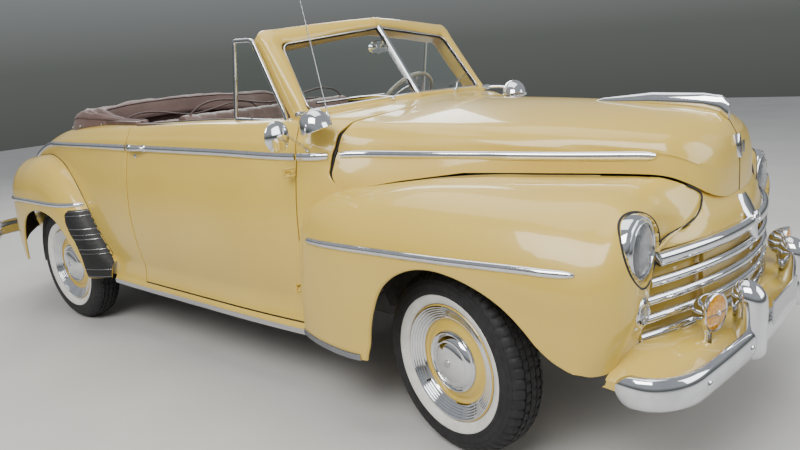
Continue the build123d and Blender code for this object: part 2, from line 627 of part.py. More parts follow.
# ---- front end ----------------------------------------------------------
with BuildPart() as grille_panel:
    # painted panel between the fenders: header above the bars, the bowl behind them, the apron below
    with BuildSketch(Plane.XY.offset(500)):
        with BuildLine():
            ThreePointArc((2190, -330), (2290, 0), (2190, 330))
            Polyline((2190, 330), (2172, 330))
            ThreePointArc((2172, 330), (2270, 0), (2172, -330))
            Polyline((2172, -330), (2190, -330))
        make_face()
    extrude(amount=370)
    with BuildSketch(Plane.XY.offset(470)):
        with BuildLine():
            ThreePointArc((2180, -640), (2390, 0), (2180, 640))
            Polyline((2180, 640), (2120, 640))
            ThreePointArc((2120, 640), (2240, 0), (2120, -640))
            Polyline((2120, -640), (2180, -640))
        make_face()
    extrude(amount=26)
    for y in (-378, 378):
        block(2100, 2480, y - 33, y + 33, 430, 524, mode=Mode.SUBTRACT)
    # stays that carry the apron and the bowl from the front cross member
    for y in (-200, 200):
        block(2111, 2200, y - 12, y + 12, 474, 512)
    add(front_fender.part, mode=Mode.SUBTRACT)
    add(front_fender_right.part, mode=Mode.SUBTRACT)
save(grille_panel, "grille_panel")

GRILLE_BARS = (             # z low, z high, half width, depth
    (505, 545, 640, 30),
    (570, 602, 610, 24),
    (632, 664, 596, 24),
    (694, 726, 586, 24),
    (756, 806, 545, 34),
)
with BuildPart() as grille_bars:
    for low, high, half, depth in GRILLE_BARS:
        with BuildSketch(Plane.XY.offset(low)) as bar:
            with BuildLine():
                ThreePointArc((2244, -half), (2378, 0), (2244, half))
                Line((2244, half), (2244 - depth, half))
                ThreePointArc((2244 - depth, half), (2378 - depth, 0), (2244 - depth, -half))
                Line((2244 - depth, -half), (2244, -half))
            make_face()
        extrude(bar.sketch, amount=high - low)
    for y in (-330, 0, 330):
        x = 2378 - 134 * (y / 590.0) ** 2
        block(x - 52, x - 22, y - 12, y + 12, 506, 800)
    for part in (front_fender.part, front_fender_right.part, grille_panel.part):
        add(part, mode=Mode.SUBTRACT)
save(grille_bars, "grille_bars")

BUMPER_Z = (396.0, 502.0)
with BuildPart() as front_bumper:
    with BuildSketch(Plane.XY.offset(BUMPER_Z[0])):
        with BuildLine():
            Line((2240, 868), (2330, 876))
            ThreePointArc((2330, 876), (2420, 800), (2452, 700))
            ThreePointArc((2452, 700), (2505, 0), (2452, -700))
            ThreePointArc((2452, -700), (2420, -800), (2330, -876))
            Polyline((2330, -876), (2240, -868), (2240, -850), (2326, -857))
            ThreePointArc((2326, -857), (2402, -790), (2434, -696))
            ThreePointArc((2434, -696), (2487, 0), (2434, 696))
            ThreePointArc((2434, 696), (2402, 790), (2326, 857))
            Polyline((2326, 857), (2240, 850), (2240, 868))
        make_face()
    extrude(amount=BUMPER_Z[1] - BUMPER_Z[0])
    for side in (1, -1):
        block(2440, HALF_LENGTH, side * 300 - 42, side * 300 + 42, 378, 660)
        block(2252, 2470, side * 378 - 20, side * 378 + 20, 440, 480)
        block(2360, 2476, side * 460 - 14, side * 460 + 14, 484, 490)
    block(2500, 2506, -170, 170, 400, 540)
save(front_bumper, "front_bumper")

with BuildPart() as rear_bumper:
    with BuildSketch(Plane.XY.offset(400)):
        with BuildLine():
            Line((-2080, 880), (-2330, 868))
            ThreePointArc((-2330, 868), (-2420, 790), (-2452, 690))
            ThreePointArc((-2452, 690), (-2505, 0), (-2452, -690))
            ThreePointArc((-2452, -690), (-2420, -790), (-2330, -868))
            Polyline((-2330, -868), (-2080, -880), (-2080, -862), (-2326, -850))
            ThreePointArc((-2326, -850), (-2402, -780), (-2434, -684))
            ThreePointArc((-2434, -684), (-2487, 0), (-2434, 684))
            ThreePointArc((-2434, 684), (-2402, 780), (-2326, 850))
            Polyline((-2326, 850), (-2080, 862), (-2080, 880))
        make_face()
    extrude(amount=104)
    for side in (1, -1):
        block(-HALF_LENGTH, -2436, side * 300 - 40, side * 300 + 40, 384, 640)
        block(-2470, -2350, side * 378 - 20, side * 378 + 20, 404, 440)
    block(-2506, -2500, -170, 170, 404, 540)
save(rear_bumper, "rear_bumper")

with BuildPart() as headlamps:
    for side in (1, -1):
        rod((2176, side * LAMP[1], LAMP[2]), (2262, side * LAMP[1], LAMP[2]), 114)
        rod((2262, side * LAMP[1], LAMP[2]), (2286, side * LAMP[1], LAMP[2]), 108)
        rod((2286, side * LAMP[1], LAMP[2]), (2300, side * LAMP[1], LAMP[2]), 88)
        # parking lamp below
        rod((2180, side * 690, 634), (2250, side * 690, 634), 50)
save(headlamps, "headlamps")

with BuildPart() as fog_lamps:
    for side in (1, -1):
        rod((2336, side * 460, 588), (2416, side * 460, 588), 65)
        rod((2376, side * 460, 490), (2376, side * 460, 530), 8)
save(fog_lamps, "fog_lamps")

with BuildPart() as spot_lamps:
    # a bowl on each windshield post, its lens turned down and a little forward
    for side in (1, -1):
        down = Vector(0.20, -side * 0.16, -0.95).normalized()
        lens = Vector(945, side * 752, 1190)
        rod(lens, lens - down * 42, 68)
        rod(lens - down * 40, lens - down * 84, 46)
        rod((912, side * 756, 1236), (800, side * 716, 1245), 9)
        rod((804, side * 724, 1245), (790, side * 652, 1245), 10)
    add(cowl.part, mode=Mode.SUBTRACT)
    add(windshield_frame.part, mode=Mode.SUBTRACT)
save(spot_lamps, "spot_lamps")

with BuildPart() as tail_lamps:
    for side in (1, -1):
        rod((-1950, side * 742, 690), (-2004, side * 742, 690), 50)
    add(rear_body.part, mode=Mode.SUBTRACT)
    add(rear_fender_left.part, mode=Mode.SUBTRACT)
    add(rear_fender_right.part, mode=Mode.SUBTRACT)
save(tail_lamps, "tail_lamps")

with BuildPart() as antenna:
    rod((905, -640, 1215), (727, -640, 2050), 2.5)
    rod((905, -640, 1200), (899, -640, 1240), 13)
    add(cowl.part, mode=Mode.SUBTRACT)
save(antenna, "antenna")

with BuildPart() as side_mirror:
    rod((905, -925, 1184), (921, -925, 1184), 62)
    rod((872, -735, 1088), (908, -905, 1184), 7)
    rod((872, -708, 1088), (872, -746, 1088), 17)
    add(cowl.part, mode=Mode.SUBTRACT)
save(side_mirror, "side_mirror")

# ---- cabin --------------------------------------------------------------
with BuildPart() as dashboard:
    with BuildSketch(Plane(origin=(0, -620, 0), x_dir=(1, 0, 0), z_dir=(0, -1, 0))):
        with BuildLine():
            Polyline((645, 1216), (700, 1216), (700, 1010), (668, 1010), (640, 1060))
            ThreePointArc((640, 1060), (618, 1140), (645, 1216))
        make_face()
    extrude(amount=-1240)
    add(cowl.part, mode=Mode.SUBTRACT)
save(dashboard, "dashboard")

WHEEL_C = (500.0, 380.0, 1150.0)    # steering wheel centre
COLUMN = Vector(-0.80, 0, 0.60).normalized()
with BuildPart() as steering_column:
    foot = Vector(*WHEEL_C) - COLUMN * 600
    rod(foot, Vector(*WHEEL_C) - COLUMN * 30, 22)
    add(dashboard.part, mode=Mode.SUBTRACT)
    add(cowl.part, mode=Mode.SUBTRACT)
save(steering_column, "steering_column")
STEER_WHEEL_R = 208.0
with BuildPart() as steering_wheel:
    plane = Plane(origin=WHEEL_C, x_dir=(0, 1, 0), z_dir=COLUMN)
    with BuildSketch(Plane(origin=WHEEL_C, x_dir=(0, 1, 0), z_dir=plane.y_dir)) as rim_ring:
        with Locations((STEER_WHEEL_R, 0)):
            Circle(11)
    revolve(rim_ring.sketch, axis=Axis(WHEEL_C, COLUMN))
    with BuildSketch(plane.offset(-6)) as spokes:
        Circle(40)
        for turn in (90, 210, 330):
            with Locations((104 * cos(radians(turn)), 104 * sin(radians(turn)))):
                Rectangle(206, 16, rotation=turn)
    extrude(spokes.sketch, amount=10)
    with BuildSketch(plane.offset(-24)) as boss:
        Circle(36)
    extrude(boss.sketch, amount=40)
save(steering_wheel, "steering_wheel")

SEATS = (                   # name, half width, then the cushion's and the back's outline in X and Z
    ("front_seat", 630, ((-190, 412), (330, 412), (372, 560), (360, 720), (300, 745), (-150, 694)),
     ((-158, 718), (-40, 724), (-120, 1000), (-196, 1262), (-262, 1262), (-300, 1200))),
    ("rear_seat", 588, ((-790, 412), (-470, 412), (-440, 560), (-452, 690), (-500, 712), (-790, 690)),
     ((-1010, 730), (-846, 712), (-880, 900), (-960, 1170), (-1030, 1200), (-1090, 1150))),
)
for name, half, cushion, back in SEATS:
    with BuildPart() as seat:
        for outline in (cushion, back):
            side_plate(outline, -half, half)
        fillet(seat.edges().filter_by(Axis.Y), 22)
    save(seat, name)

# folded roof under its cover: a bow behind the rear seat and an arm along each side
with BuildPart() as top_boot:
    plan_prism(((-500, 716), (-1150, 702), (-1380, 560), (-1420, 300), (-1420, -300), (-1380, -560), (-1150, -702), (-500, -716),
                (-500, -610), (-1080, -560), (-1150, -440), (-1150, 440), (-1080, 560), (-500, 610)), 1216, 1330)
    add(hull_grown.part, mode=Mode.SUBTRACT)
    fillet(top_boot.edges().group_by(Axis.Z)[-1], 30)
save(top_boot, "top_boot")
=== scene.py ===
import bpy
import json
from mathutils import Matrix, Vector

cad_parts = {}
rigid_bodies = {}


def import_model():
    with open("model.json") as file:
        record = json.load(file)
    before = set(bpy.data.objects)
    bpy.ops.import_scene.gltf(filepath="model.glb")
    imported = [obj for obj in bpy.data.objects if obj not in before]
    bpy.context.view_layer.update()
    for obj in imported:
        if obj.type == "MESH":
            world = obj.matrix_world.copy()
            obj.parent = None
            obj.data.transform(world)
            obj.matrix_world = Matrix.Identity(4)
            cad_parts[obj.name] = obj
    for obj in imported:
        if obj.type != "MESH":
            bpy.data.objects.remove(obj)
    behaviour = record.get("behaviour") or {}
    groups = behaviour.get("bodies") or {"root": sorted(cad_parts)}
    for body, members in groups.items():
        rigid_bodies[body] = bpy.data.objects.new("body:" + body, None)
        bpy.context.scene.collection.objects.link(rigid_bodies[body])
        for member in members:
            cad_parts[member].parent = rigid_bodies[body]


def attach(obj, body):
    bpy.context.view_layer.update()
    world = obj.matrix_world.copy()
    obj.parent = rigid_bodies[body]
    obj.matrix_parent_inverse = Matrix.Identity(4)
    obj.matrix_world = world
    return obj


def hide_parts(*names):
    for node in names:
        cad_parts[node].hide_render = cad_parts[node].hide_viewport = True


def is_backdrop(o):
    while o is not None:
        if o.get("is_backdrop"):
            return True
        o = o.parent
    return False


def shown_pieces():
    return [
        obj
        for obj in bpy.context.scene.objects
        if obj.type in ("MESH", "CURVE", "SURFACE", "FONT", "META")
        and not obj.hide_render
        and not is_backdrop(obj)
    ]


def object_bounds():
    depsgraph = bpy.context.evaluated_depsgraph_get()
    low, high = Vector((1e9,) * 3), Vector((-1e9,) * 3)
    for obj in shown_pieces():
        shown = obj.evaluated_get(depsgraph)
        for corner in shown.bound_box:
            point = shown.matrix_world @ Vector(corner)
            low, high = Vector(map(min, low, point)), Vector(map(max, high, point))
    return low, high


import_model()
import json
import math

import bpy
import numpy as np
from mathutils import Matrix, Vector

# Two-door convertible, late 1940s style. All numbers below are millimetres in the part's frame: +X forward, +Y left, +Z up.
MM = 0.001
LOW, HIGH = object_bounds()
SIZES = {"cad_low": list(LOW), "cad_high": list(HIGH)}
scene = bpy.context.scene

# ---- camera --------------------------------------------------------------
AZ, PITCH, ROLL = math.radians(41.0), math.radians(13.4), math.radians(-4.3)
ahead = Vector((-math.sin(AZ) * math.cos(PITCH), math.cos(AZ) * math.cos(PITCH), -math.sin(PITCH)))
right = Vector((math.cos(AZ), math.sin(AZ), 0))
above = right.cross(ahead)
rr = right * math.cos(ROLL) + above * math.sin(ROLL)
uu = above * math.cos(ROLL) - right * math.sin(ROLL)
cam_data = bpy.data.cameras.new("camera")
cam = bpy.data.objects.new("camera", cam_data)
scene.collection.objects.link(cam)
cam_data.sensor_width = 36
cam_data.lens = 32.35
cam_data.clip_start, cam_data.clip_end = 0.05, 100
cam.matrix_world = Matrix((
    (rr.x, uu.x, -ahead.x, 3.0672), (rr.y, uu.y, -ahead.y, -2.7323), (rr.z, uu.z, -ahead.z, 1.4632), (0, 0, 0, 1)))
scene.camera = cam


# ---- materials -----------------------------------------------------------
def material(name, base, dark=None, rough=0.4, metal=0.0, scale=12.0, detail=4.0, bump=0.0, bump_scale=None, coat=0.0,
             transmission=0.0, ior=1.45, sheen=0.0, stretch=(1, 1, 1), pattern="noise", emission=None, rough_spread=0.0,
             position=(0.35, 0.65)):
    """A procedural surface: two colours mixed by a texture, and a bump from a finer one."""
    m = bpy.data.materials.new(name)
    m.use_nodes = True
    nt = m.node_tree
    b = nt.nodes["Principled BSDF"]
    b.inputs["Roughness"].default_value = rough
    b.inputs["Metallic"].default_value = metal
    b.inputs["Coat Weight"].default_value = coat
    b.inputs["Coat Roughness"].default_value = 0.05
    b.inputs["Transmission Weight"].default_value = transmission
    b.inputs["IOR"].default_value = ior
    b.inputs["Sheen Weight"].default_value = sheen
    tc = nt.nodes.new("ShaderNodeTexCoord")
    mp = nt.nodes.new("ShaderNodeMapping")
    mp.inputs["Scale"].default_value = stretch
    nt.links.new(tc.outputs["Object"], mp.inputs["Vector"])
    if pattern == "voronoi":
        tex = nt.nodes.new("ShaderNodeTexVoronoi")
        tex.inputs["Scale"].default_value = scale
        out = tex.outputs["Distance"]
    elif pattern == "wave":
        tex = nt.nodes.new("ShaderNodeTexWave")
        tex.inputs["Scale"].default_value = scale
        tex.inputs["Distortion"].default_value = 1.0
        out = tex.outputs["Fac"]
    else:
        tex = nt.nodes.new("ShaderNodeTexNoise")
        tex.inputs["Scale"].default_value = scale
        tex.inputs["Detail"].default_value = detail
        out = tex.outputs["Fac"]
    nt.links.new(mp.outputs["Vector"], tex.inputs["Vector"])
    ramp = nt.nodes.new("ShaderNodeValToRGB")
    ramp.color_ramp.elements[0].position = position[0]
    ramp.color_ramp.elements[1].position = position[1]
    ramp.color_ramp.elements[0].color = (*(dark or tuple(c * 0.93 for c in base)), 1)
    ramp.color_ramp.elements[1].color = (*base, 1)
    nt.links.new(out, ramp.inputs["Fac"])
    nt.links.new(ramp.outputs["Color"], b.inputs["Base Color"])
    if rough_spread:
        mr = nt.nodes.new("ShaderNodeMapRange")
        mr.inputs["To Min"].default_value = max(0.02, rough - rough_spread)
        mr.inputs["To Max"].default_value = rough + rough_spread
        fine = nt.nodes.new("ShaderNodeTexNoise")
        fine.inputs["Scale"].default_value = scale * 2.5
        nt.links.new(mp.outputs["Vector"], fine.inputs["Vector"])
        nt.links.new(fine.outputs["Fac"], mr.inputs["Value"])
        nt.links.new(mr.outputs["Result"], b.inputs["Roughness"])
    if bump:
        grain = nt.nodes.new("ShaderNodeTexNoise" if pattern != "voronoi" else "ShaderNodeTexVoronoi")
        grain.inputs["Scale"].default_value = bump_scale or scale * 6
        nt.links.new(mp.outputs["Vector"], grain.inputs["Vector"])
        bp = nt.nodes.new("ShaderNodeBump")
        bp.inputs["Strength"].default_value = bump
        bp.inputs["Distance"].default_value = 0.001
        nt.links.new(grain.outputs[0], bp.inputs["Height"])
        nt.links.new(bp.outputs["Normal"], b.inputs["Normal"])
    if emission:
        b.inputs["Emission Color"].default_value = (*emission, 1)
        b.inputs["Emission Strength"].default_value = 0.25
    return m


PAINT = material("paint_pale_yellow", (0.700, 0.490, 0.090), (0.665, 0.458, 0.078), rough=0.33, coat=0.7, scale=2.2, bump=0.03, bump_scale=260)
PAINT_IN = material("paint_inner", (0.42, 0.32, 0.11), (0.30, 0.23, 0.08), rough=0.5, scale=8)
CHROME = material("chrome", (0.80, 0.81, 0.83), (0.72, 0.73, 0.76), rough=0.07, metal=1.0, scale=20, rough_spread=0.035)
STAINLESS = material("stainless", (0.62, 0.62, 0.64), (0.50, 0.50, 0.53), rough=0.22, metal=1.0, scale=30, stretch=(0.1, 1, 6), rough_spread=0.08)
RUBBER = material("tyre_rubber", (0.020, 0.020, 0.022), (0.012, 0.012, 0.013), rough=0.62, scale=40, bump=0.25, bump_scale=420, rough_spread=0.12)
TRIM_RUBBER = material("trim_rubber", (0.016, 0.016, 0.017), (0.010, 0.010, 0.010), rough=0.5, scale=60, bump=0.1)
WHITEWALL = material("whitewall", (0.78, 0.77, 0.73), (0.66, 0.65, 0.60), rough=0.5, scale=22, bump=0.08, bump_scale=300)
BLACK = material("chassis_black", (0.016, 0.016, 0.018), (0.030, 0.027, 0.024), rough=0.5, scale=14, bump=0.2, bump_scale=120, rough_spread=0.15)
UNDER = material("underseal", (0.020, 0.019, 0.018), (0.040, 0.036, 0.031), rough=0.85, scale=30, bump=0.6, bump_scale=160)
IRON = material("engine_iron", (0.045, 0.075, 0.10), (0.03, 0.045, 0.06), rough=0.55, scale=10, bump=0.3, bump_scale=200)
STEEL = material("dull_steel", (0.28, 0.26, 0.24), (0.20, 0.13, 0.09), rough=0.5, metal=0.9, scale=9, bump=0.2, rough_spread=0.12)
CORE = material("radiator_core", (0.020, 0.020, 0.020), (0.006, 0.006, 0.006), rough=0.6, scale=160, pattern="wave", stretch=(1, 1, 3), bump=0.4)
LEATHER = material("seat_leather", (0.145, 0.094, 0.078), (0.102, 0.064, 0.052), rough=0.46, scale=7, bump=0.55, bump_scale=420, rough_spread=0.08)
PIPING = material("piping", (0.090, 0.055, 0.046), (0.064, 0.040, 0.034), rough=0.45, scale=60)
CANVAS = material("boot_cover", (0.150, 0.094, 0.082), (0.108, 0.066, 0.057), rough=0.6, scale=5, bump=0.5, bump_scale=520, sheen=0.15, rough_spread=0.1)
CARPET = material("carpet", (0.085, 0.046, 0.036), (0.045, 0.024, 0.019), rough=0.95, scale=220, bump=0.9, bump_scale=700, sheen=0.3)
TAN = material("dash_tan", (0.50, 0.27, 0.095), (0.42, 0.21, 0.070), rough=0.28, coat=0.5, scale=3.5, stretch=(1, 3, 1))
IVORY = material("wheel_plastic", (0.36, 0.33, 0.26), (0.30, 0.27, 0.21), rough=0.3, coat=0.3, scale=14)
AMBER = material("amber_lens", (0.72, 0.33, 0.008), (0.50, 0.20, 0.004), rough=0.12, scale=90, pattern="voronoi", coat=1.0, bump=0.5, bump_scale=120, emission=(0.16, 0.07, 0.0))
RED = material("red_lens", (0.50, 0.016, 0.010), (0.36, 0.008, 0.006), rough=0.12, scale=80, pattern="voronoi", coat=1.0, bump=0.4, bump_scale=140)
REFLECTOR = material("reflector", (0.86, 0.87, 0.88), (0.75, 0.76, 0.78), rough=0.16, metal=1.0, scale=24)
LENS = material("lamp_glass", (0.93, 0.95, 0.97), (0.86, 0.89, 0.93), rough=0.03, transmission=0.94, scale=30, ior=1.45, stretch=(1, 6, 1), bump=0.35, bump_scale=50)
GLASS = material("window_glass", (0.93, 0.97, 0.96), (0.90, 0.95, 0.94), rough=0.0, transmission=1.0, scale=2, ior=1.02, coat=0.6)
MIRROR_FACE = material("mirror_face", (0.86, 0.88, 0.89), (0.82, 0.84, 0.86), rough=0.02, metal=1.0, scale=6)
DIAL = material("dials", (0.75, 0.72, 0.62), (0.10, 0.08, 0.06), rough=0.3, coat=0.8, scale=60, pattern="voronoi", position=(0.25, 0.45))


# ---- geometry helpers -----------------------------------------------------
def arr(p):
    return np.asarray(p, float)


def pchip(xs, ys, x):
    """Monotone cubic through (xs, ys); ys may have any trailing shape."""
    xs, ys, x = arr(xs), arr(ys), np.atleast_1d(arr(x))
    shape = ys.shape[1:]
    y = ys.reshape(len(xs), -1)
    h = np.diff(xs)[:, None]
    d = np.diff(y, axis=0) / h
    m = np.zeros_like(y)
    m[0], m[-1] = d[0], d[-1]
    if len(xs) > 2:
        w1, w2 = 2 * h[1:] + h[:-1], h[1:] + 2 * h[:-1]
        same = d[:-1] * d[1:] > 0
        safe0, safe1 = np.where(same, d[:-1], 1), np.where(same, d[1:], 1)
        m[1:-1] = np.where(same, (w1 + w2) / (w1 / safe0 + w2 / safe1), 0)
    i = np.clip(np.searchsorted(xs, x, side="right") - 1, 0, len(xs) - 2)
    t = ((x - xs[i]) / np.diff(xs)[i])[:, None]
    t = np.clip(t, 0, 1)
    hh = h[i]
    out = ((2 * t**3 - 3 * t**2 + 1) * y[i] + (t**3 - 2 * t**2 + t) * hh * m[i]
           + (-2 * t**3 + 3 * t**2) * y[i + 1] + (t**3 - t**2) * hh * m[i + 1])
    return out.reshape((len(x),) + shape)


def hermite(knots, p, t):
    """Smooth curve through p at the knots, with three point tangents."""
    knots, p, t = arr(knots), arr(p), np.atleast_1d(arr(t))
    shape = p.shape[1:]
    y = p.reshape(len(knots), -1)
    h = np.diff(knots)[:, None]
    d = np.diff(y, axis=0) / h
    m = np.zeros_like(y)
    m[0], m[-1] = d[0], d[-1]
    if len(knots) > 2:
        m[1:-1] = (d[:-1] * h[1:] + d[1:] * h[:-1]) / (h[1:] + h[:-1])
        m[0] = 1.5 * d[0] - 0.5 * m[1]
        m[-1] = 1.5 * d[-1] - 0.5 * m[-2]
    i = np.clip(np.searchsorted(knots, t, side="right") - 1, 0, len(knots) - 2)
    u = np.clip((t - knots[i]) / np.diff(knots)[i], 0, 1)[:, None]
    hh = h[i]
    out = ((2 * u**3 - 3 * u**2 + 1) * y[i] + (u**3 - 2 * u**2 + u) * hh * m[i]
           + (-2 * u**3 + 3 * u**2) * y[i + 1] + (u**3 - u**2) * hh * m[i + 1])
    return out.reshape((len(t),) + shape)


def chord(p):
    p = arr(p)
    return np.concatenate([[0], np.cumsum(np.linalg.norm(np.diff(p, axis=0), axis=-1))])


def smooth_line(p, n):
    """n points, evenly spaced, on a smooth curve through p."""
    p = arr(p)
    k = chord(p)
    fine = hermite(k, p, np.linspace(0, k[-1], n * 8))
    return even(fine, n)


def even(p, n):
    k = chord(p)
    s = np.linspace(0, k[-1], n)
    return np.stack([np.interp(s, k, p[:, c]) for c in range(p.shape[1])], 1)


def blurred(p, width, keep_ends=True):
    """p smoothed along its first axis by a small Gaussian."""
    r = int(3 * width)
    w = np.exp(-0.5 * (np.arange(-r, r + 1) / width) ** 2)
    w /= w.sum()
    a, z = 2 * p[:1] - p[1:r + 1][::-1], 2 * p[-1:] - p[-r - 1:-1][::-1]
    q = np.concatenate([a, p, z])
    return sum(w[i] * q[i:i + len(p)] for i in range(2 * r + 1))


def arc3(a, b, c, n):
    """n+1 points of the circle arc from a through b to c."""
    (ax, ay), (bx, by), (cx, cy) = a, b, c
    d = 2 * (ax * (by - cy) + bx * (cy - ay) + cx * (ay - by))
    if abs(d) < 1e-6:
        return np.stack([np.linspace(ax, cx, n + 1), np.linspace(ay, cy, n + 1)], 1)
    ux = ((ax**2 + ay**2) * (by - cy) + (bx**2 + by**2) * (cy - ay) + (cx**2 + cy**2) * (ay - by)) / d
    uy = ((ax**2 + ay**2) * (cx - bx) + (bx**2 + by**2) * (ax - cx) + (cx**2 + cy**2) * (bx - ax)) / d
    r = math.hypot(ax - ux, ay - uy)
    t0, t1, t2 = (math.atan2(y - uy, x - ux) for x, y in (a, b, c))
    turn = (t2 - t0) % (2 * math.pi)
    if (t1 - t0) % (2 * math.pi) > turn:
        turn -= 2 * math.pi
    t = t0 + np.linspace(0, turn, n + 1)
    return np.stack([ux + r * np.cos(t), uy + r * np.sin(t)], 1)


def quads(nu, nv, close_u=False, close_v=False):
    idx = np.arange(nu * nv).reshape(nu, nv)
    if close_u:
        idx = np.concatenate([idx, idx[:1]])
    if close_v:
        idx = np.concatenate([idx, idx[:, :1]], 1)
    return np.stack([idx[:-1, :-1], idx[1:, :-1], idx[1:, 1:], idx[:-1, 1:]], -1).reshape(-1, 4)


def make(name, v, f, mat, body="body", smooth=True, sharp=None):
    me = bpy.data.meshes.new(name)
    me.from_pydata((arr(v).reshape(-1, 3) * MM).tolist(), [], [list(map(int, q)) for q in f])
    me.validate()
    me.update()
    me.polygons.foreach_set("use_smooth", [smooth] * len(me.polygons))
    if sharp:
        me.set_sharp_from_angle(angle=math.radians(sharp))
    me.materials.append(mat)
    ob = bpy.data.objects.new(name, me)
    scene.collection.objects.link(ob)
    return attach(ob, body)


def mesh_of(parts):
    """Joins (vertices, faces) lists."""
    vs, fs, n = [], [], 0
    for v, f in parts:
        v = arr(v).reshape(-1, 3)
        vs.append(v)
        fs += [[int(i) + n for i in q] for q in f]
        n += len(v)
    return np.concatenate(vs), fs


def welded(ob, dist=0.0002):
    import bmesh
    bm = bmesh.new()
    bm.from_mesh(ob.data)
    bmesh.ops.remove_doubles(bm, verts=bm.verts, dist=dist)
    bmesh.ops.dissolve_degenerate(bm, edges=bm.edges, dist=0.00005)
    bm.to_mesh(ob.data)
    bm.free()
    ob.data.update()
    return ob


def tidy(ob):
    """Closed pieces: normals made to point outwards."""
    import bmesh
    bm = bmesh.new()
    bm.from_mesh(ob.data)
    bmesh.ops.recalc_face_normals(bm, faces=bm.faces)
    bm.to_mesh(ob.data)
    bm.free()
    ob.data.update()
    return ob


def bevel(ob, width, segments=2, angle=40):
    m = ob.modifiers.new("edge", "BEVEL")
    m.width = width * MM
    m.segments = segments
    m.limit_method = "ANGLE"
    m.angle_limit = math.radians(angle)
    m.harden_normals = True
    return ob


def thick(ob, t, edge=None, segments=3):
    """Gives an open skin, whose normals point outwards, its thickness inwards, then rounds its rim."""
    m = ob.modifiers.new("thickness", "SOLIDIFY")
    m.thickness = t * MM
    m.offset = -1
    m.use_quality_normals = True
    if edge:
        bevel(ob, edge, segments)
    return ob


def facing(p, f, ref):
    """Faces turned so that they look away from ref, a point, or along ref, a direction given as a 3-vector with a leading 'd'."""
    p = arr(p).reshape(-1, 3)
    q = np.array([list(x)[:3] for x in f])
    n = np.cross(p[q[:, 1]] - p[q[:, 0]], p[q[:, 2]] - p[q[:, 0]])
    c = (p[q[:, 0]] + p[q[:, 1]] + p[q[:, 2]]) / 3
    side = (n * (arr(ref[1]) if ref[0] == "d" else c - arr(ref))).sum(-1).sum()
    return [list(x)[::-1] for x in f] if side < 0 else [list(x) for x in f]


def sheet_of(name, grid, mat, body="body", ref=(0, 0, 600), t=12, edge=2.5, segments=3, weld=False):
    """A skin panel from a grid of points, with thickness."""
    nu, nv = grid.shape[:2]
    f = facing(grid, quads(nu, nv), ref)
    ob = make(name, grid, f, mat, body)
    if weld:
        welded(ob)
    return thick(ob, t, edge, segments) if t else ob


def frames_along(path, up=(0, 0, 1)):
    path = arr(path)
    t = np.gradient(path, axis=0)
    t /= np.linalg.norm(t, axis=1)[:, None]
    side = np.cross(t, arr(up))
    bad = np.linalg.norm(side, axis=1) < 1e-6
    side[bad] = (1, 0, 0)
    side /= np.linalg.norm(side, axis=1)[:, None]
    return t, side, np.cross(side, t)


def sweep(path, profile, up=(0, 0, 1), caps=True, closed=False, scale=None):
    """A closed profile (a, b), a along the side vector and b along the up vector, carried along a path. Returns (v, f)."""
    path, profile = arr(path), arr(profile)
    if closed:
        ext = np.concatenate([path[-2:-1] if np.allclose(path[0], path[-1]) else path[-1:], path, path[:1]])
        t, s, u = (q[1:-1] for q in frames_along(ext, up))
    else:
        t, s, u = frames_along(path, up)
    k = np.ones(len(path)) if scale is None else arr(scale)
    v = path[:, None] + k[:, None, None] * (profile[None, :, :1] * s[:, None] + profile[None, :, 1:] * u[:, None])
    n = len(profile)
    f = quads(len(path), n, close_u=closed, close_v=True).tolist()
    v = v.reshape(-1, 3)
    if caps and not closed:
        f.append(list(range(n))[::-1])
        f.append([(len(path) - 1) * n + i for i in range(n)])
    return v, f


def circle_profile(r, n=12, ry=None):
    a = np.linspace(0, 2 * math.pi, n, endpoint=False)
    return np.stack([r * np.cos(a), (ry or r) * np.sin(a)], 1)


def tube(path, r, n=12, up=(0, 0, 1), scale=None):
    return sweep(path, circle_profile(r, n), up, scale=scale)


def basis(axis):
    axis = arr(axis) / np.linalg.norm(axis)
    other = arr((0, 0, 1)) if abs(axis[2]) < 0.9 else arr((1, 0, 0))
    a = np.cross(axis, other)
    a /= np.linalg.norm(a)
    return axis, a, np.cross(axis, a)


def lathe(profile, centre, axis, n=48, close=False):
    """Turns (along, radius) points round an axis. Returns (v, f); the ends are capped where the radius is above 0."""
    axis, a, b = basis(axis)
    profile = arr(profile)
    t = np.linspace(0, 2 * math.pi, n, endpoint=False)
    ring = np.cos(t)[:, None] * a + np.sin(t)[:, None] * b
    v = arr(centre) + profile[:, None, :1] * axis + profile[:, None, 1:] * ring[None]
    f = quads(len(profile), n, close_u=close, close_v=True).tolist()
    v = v.reshape(-1, 3)
    if not close:
        for row, rev in ((0, True), (len(profile) - 1, False)):
            loop = [row * n + i for i in range(n)]
            f.append(loop[::-1] if rev else loop)
    return v, f


def turned_piece(name, profile, centre, axis, mat, body="body", n=48, close=False, sharp=35):
    v, f = lathe(profile, centre, axis, n, close)
    ob = make(name, v, f, mat, body)
    welded(ob, 0.00002)
    tidy(ob)
    if sharp:
        ob.data.set_sharp_from_angle(angle=math.radians(sharp))
    return ob


def swept(name, path, profile, mat, body="body", up=(0, 0, 1), closed=False, scale=None, sharp=40):
    v, f = sweep(path, profile, up, closed=closed, scale=scale)
    return tidy(make(name, v, f, mat, body, sharp=sharp))


def joined(name, parts, mat, body="body", sharp=40, edge=None):
    v, f = mesh_of(parts)
    ob = tidy(make(name, v, f, mat, body, sharp=sharp))
    return bevel(ob, edge) if edge else ob


def block(x0, x1, y0, y1, z0, z1):
    v = [(x, y, z) for x in (x0, x1) for y in (y0, y1) for z in (z0, z1)]
    return v, [(0, 1, 3, 2), (4, 6, 7, 5), (0, 4, 5, 1), (2, 3, 7, 6), (0, 2, 6, 4), (1, 5, 7, 3)]


def flip_y(p, side):
    p = arr(p).copy()
    p[..., 1] *= side
    return p


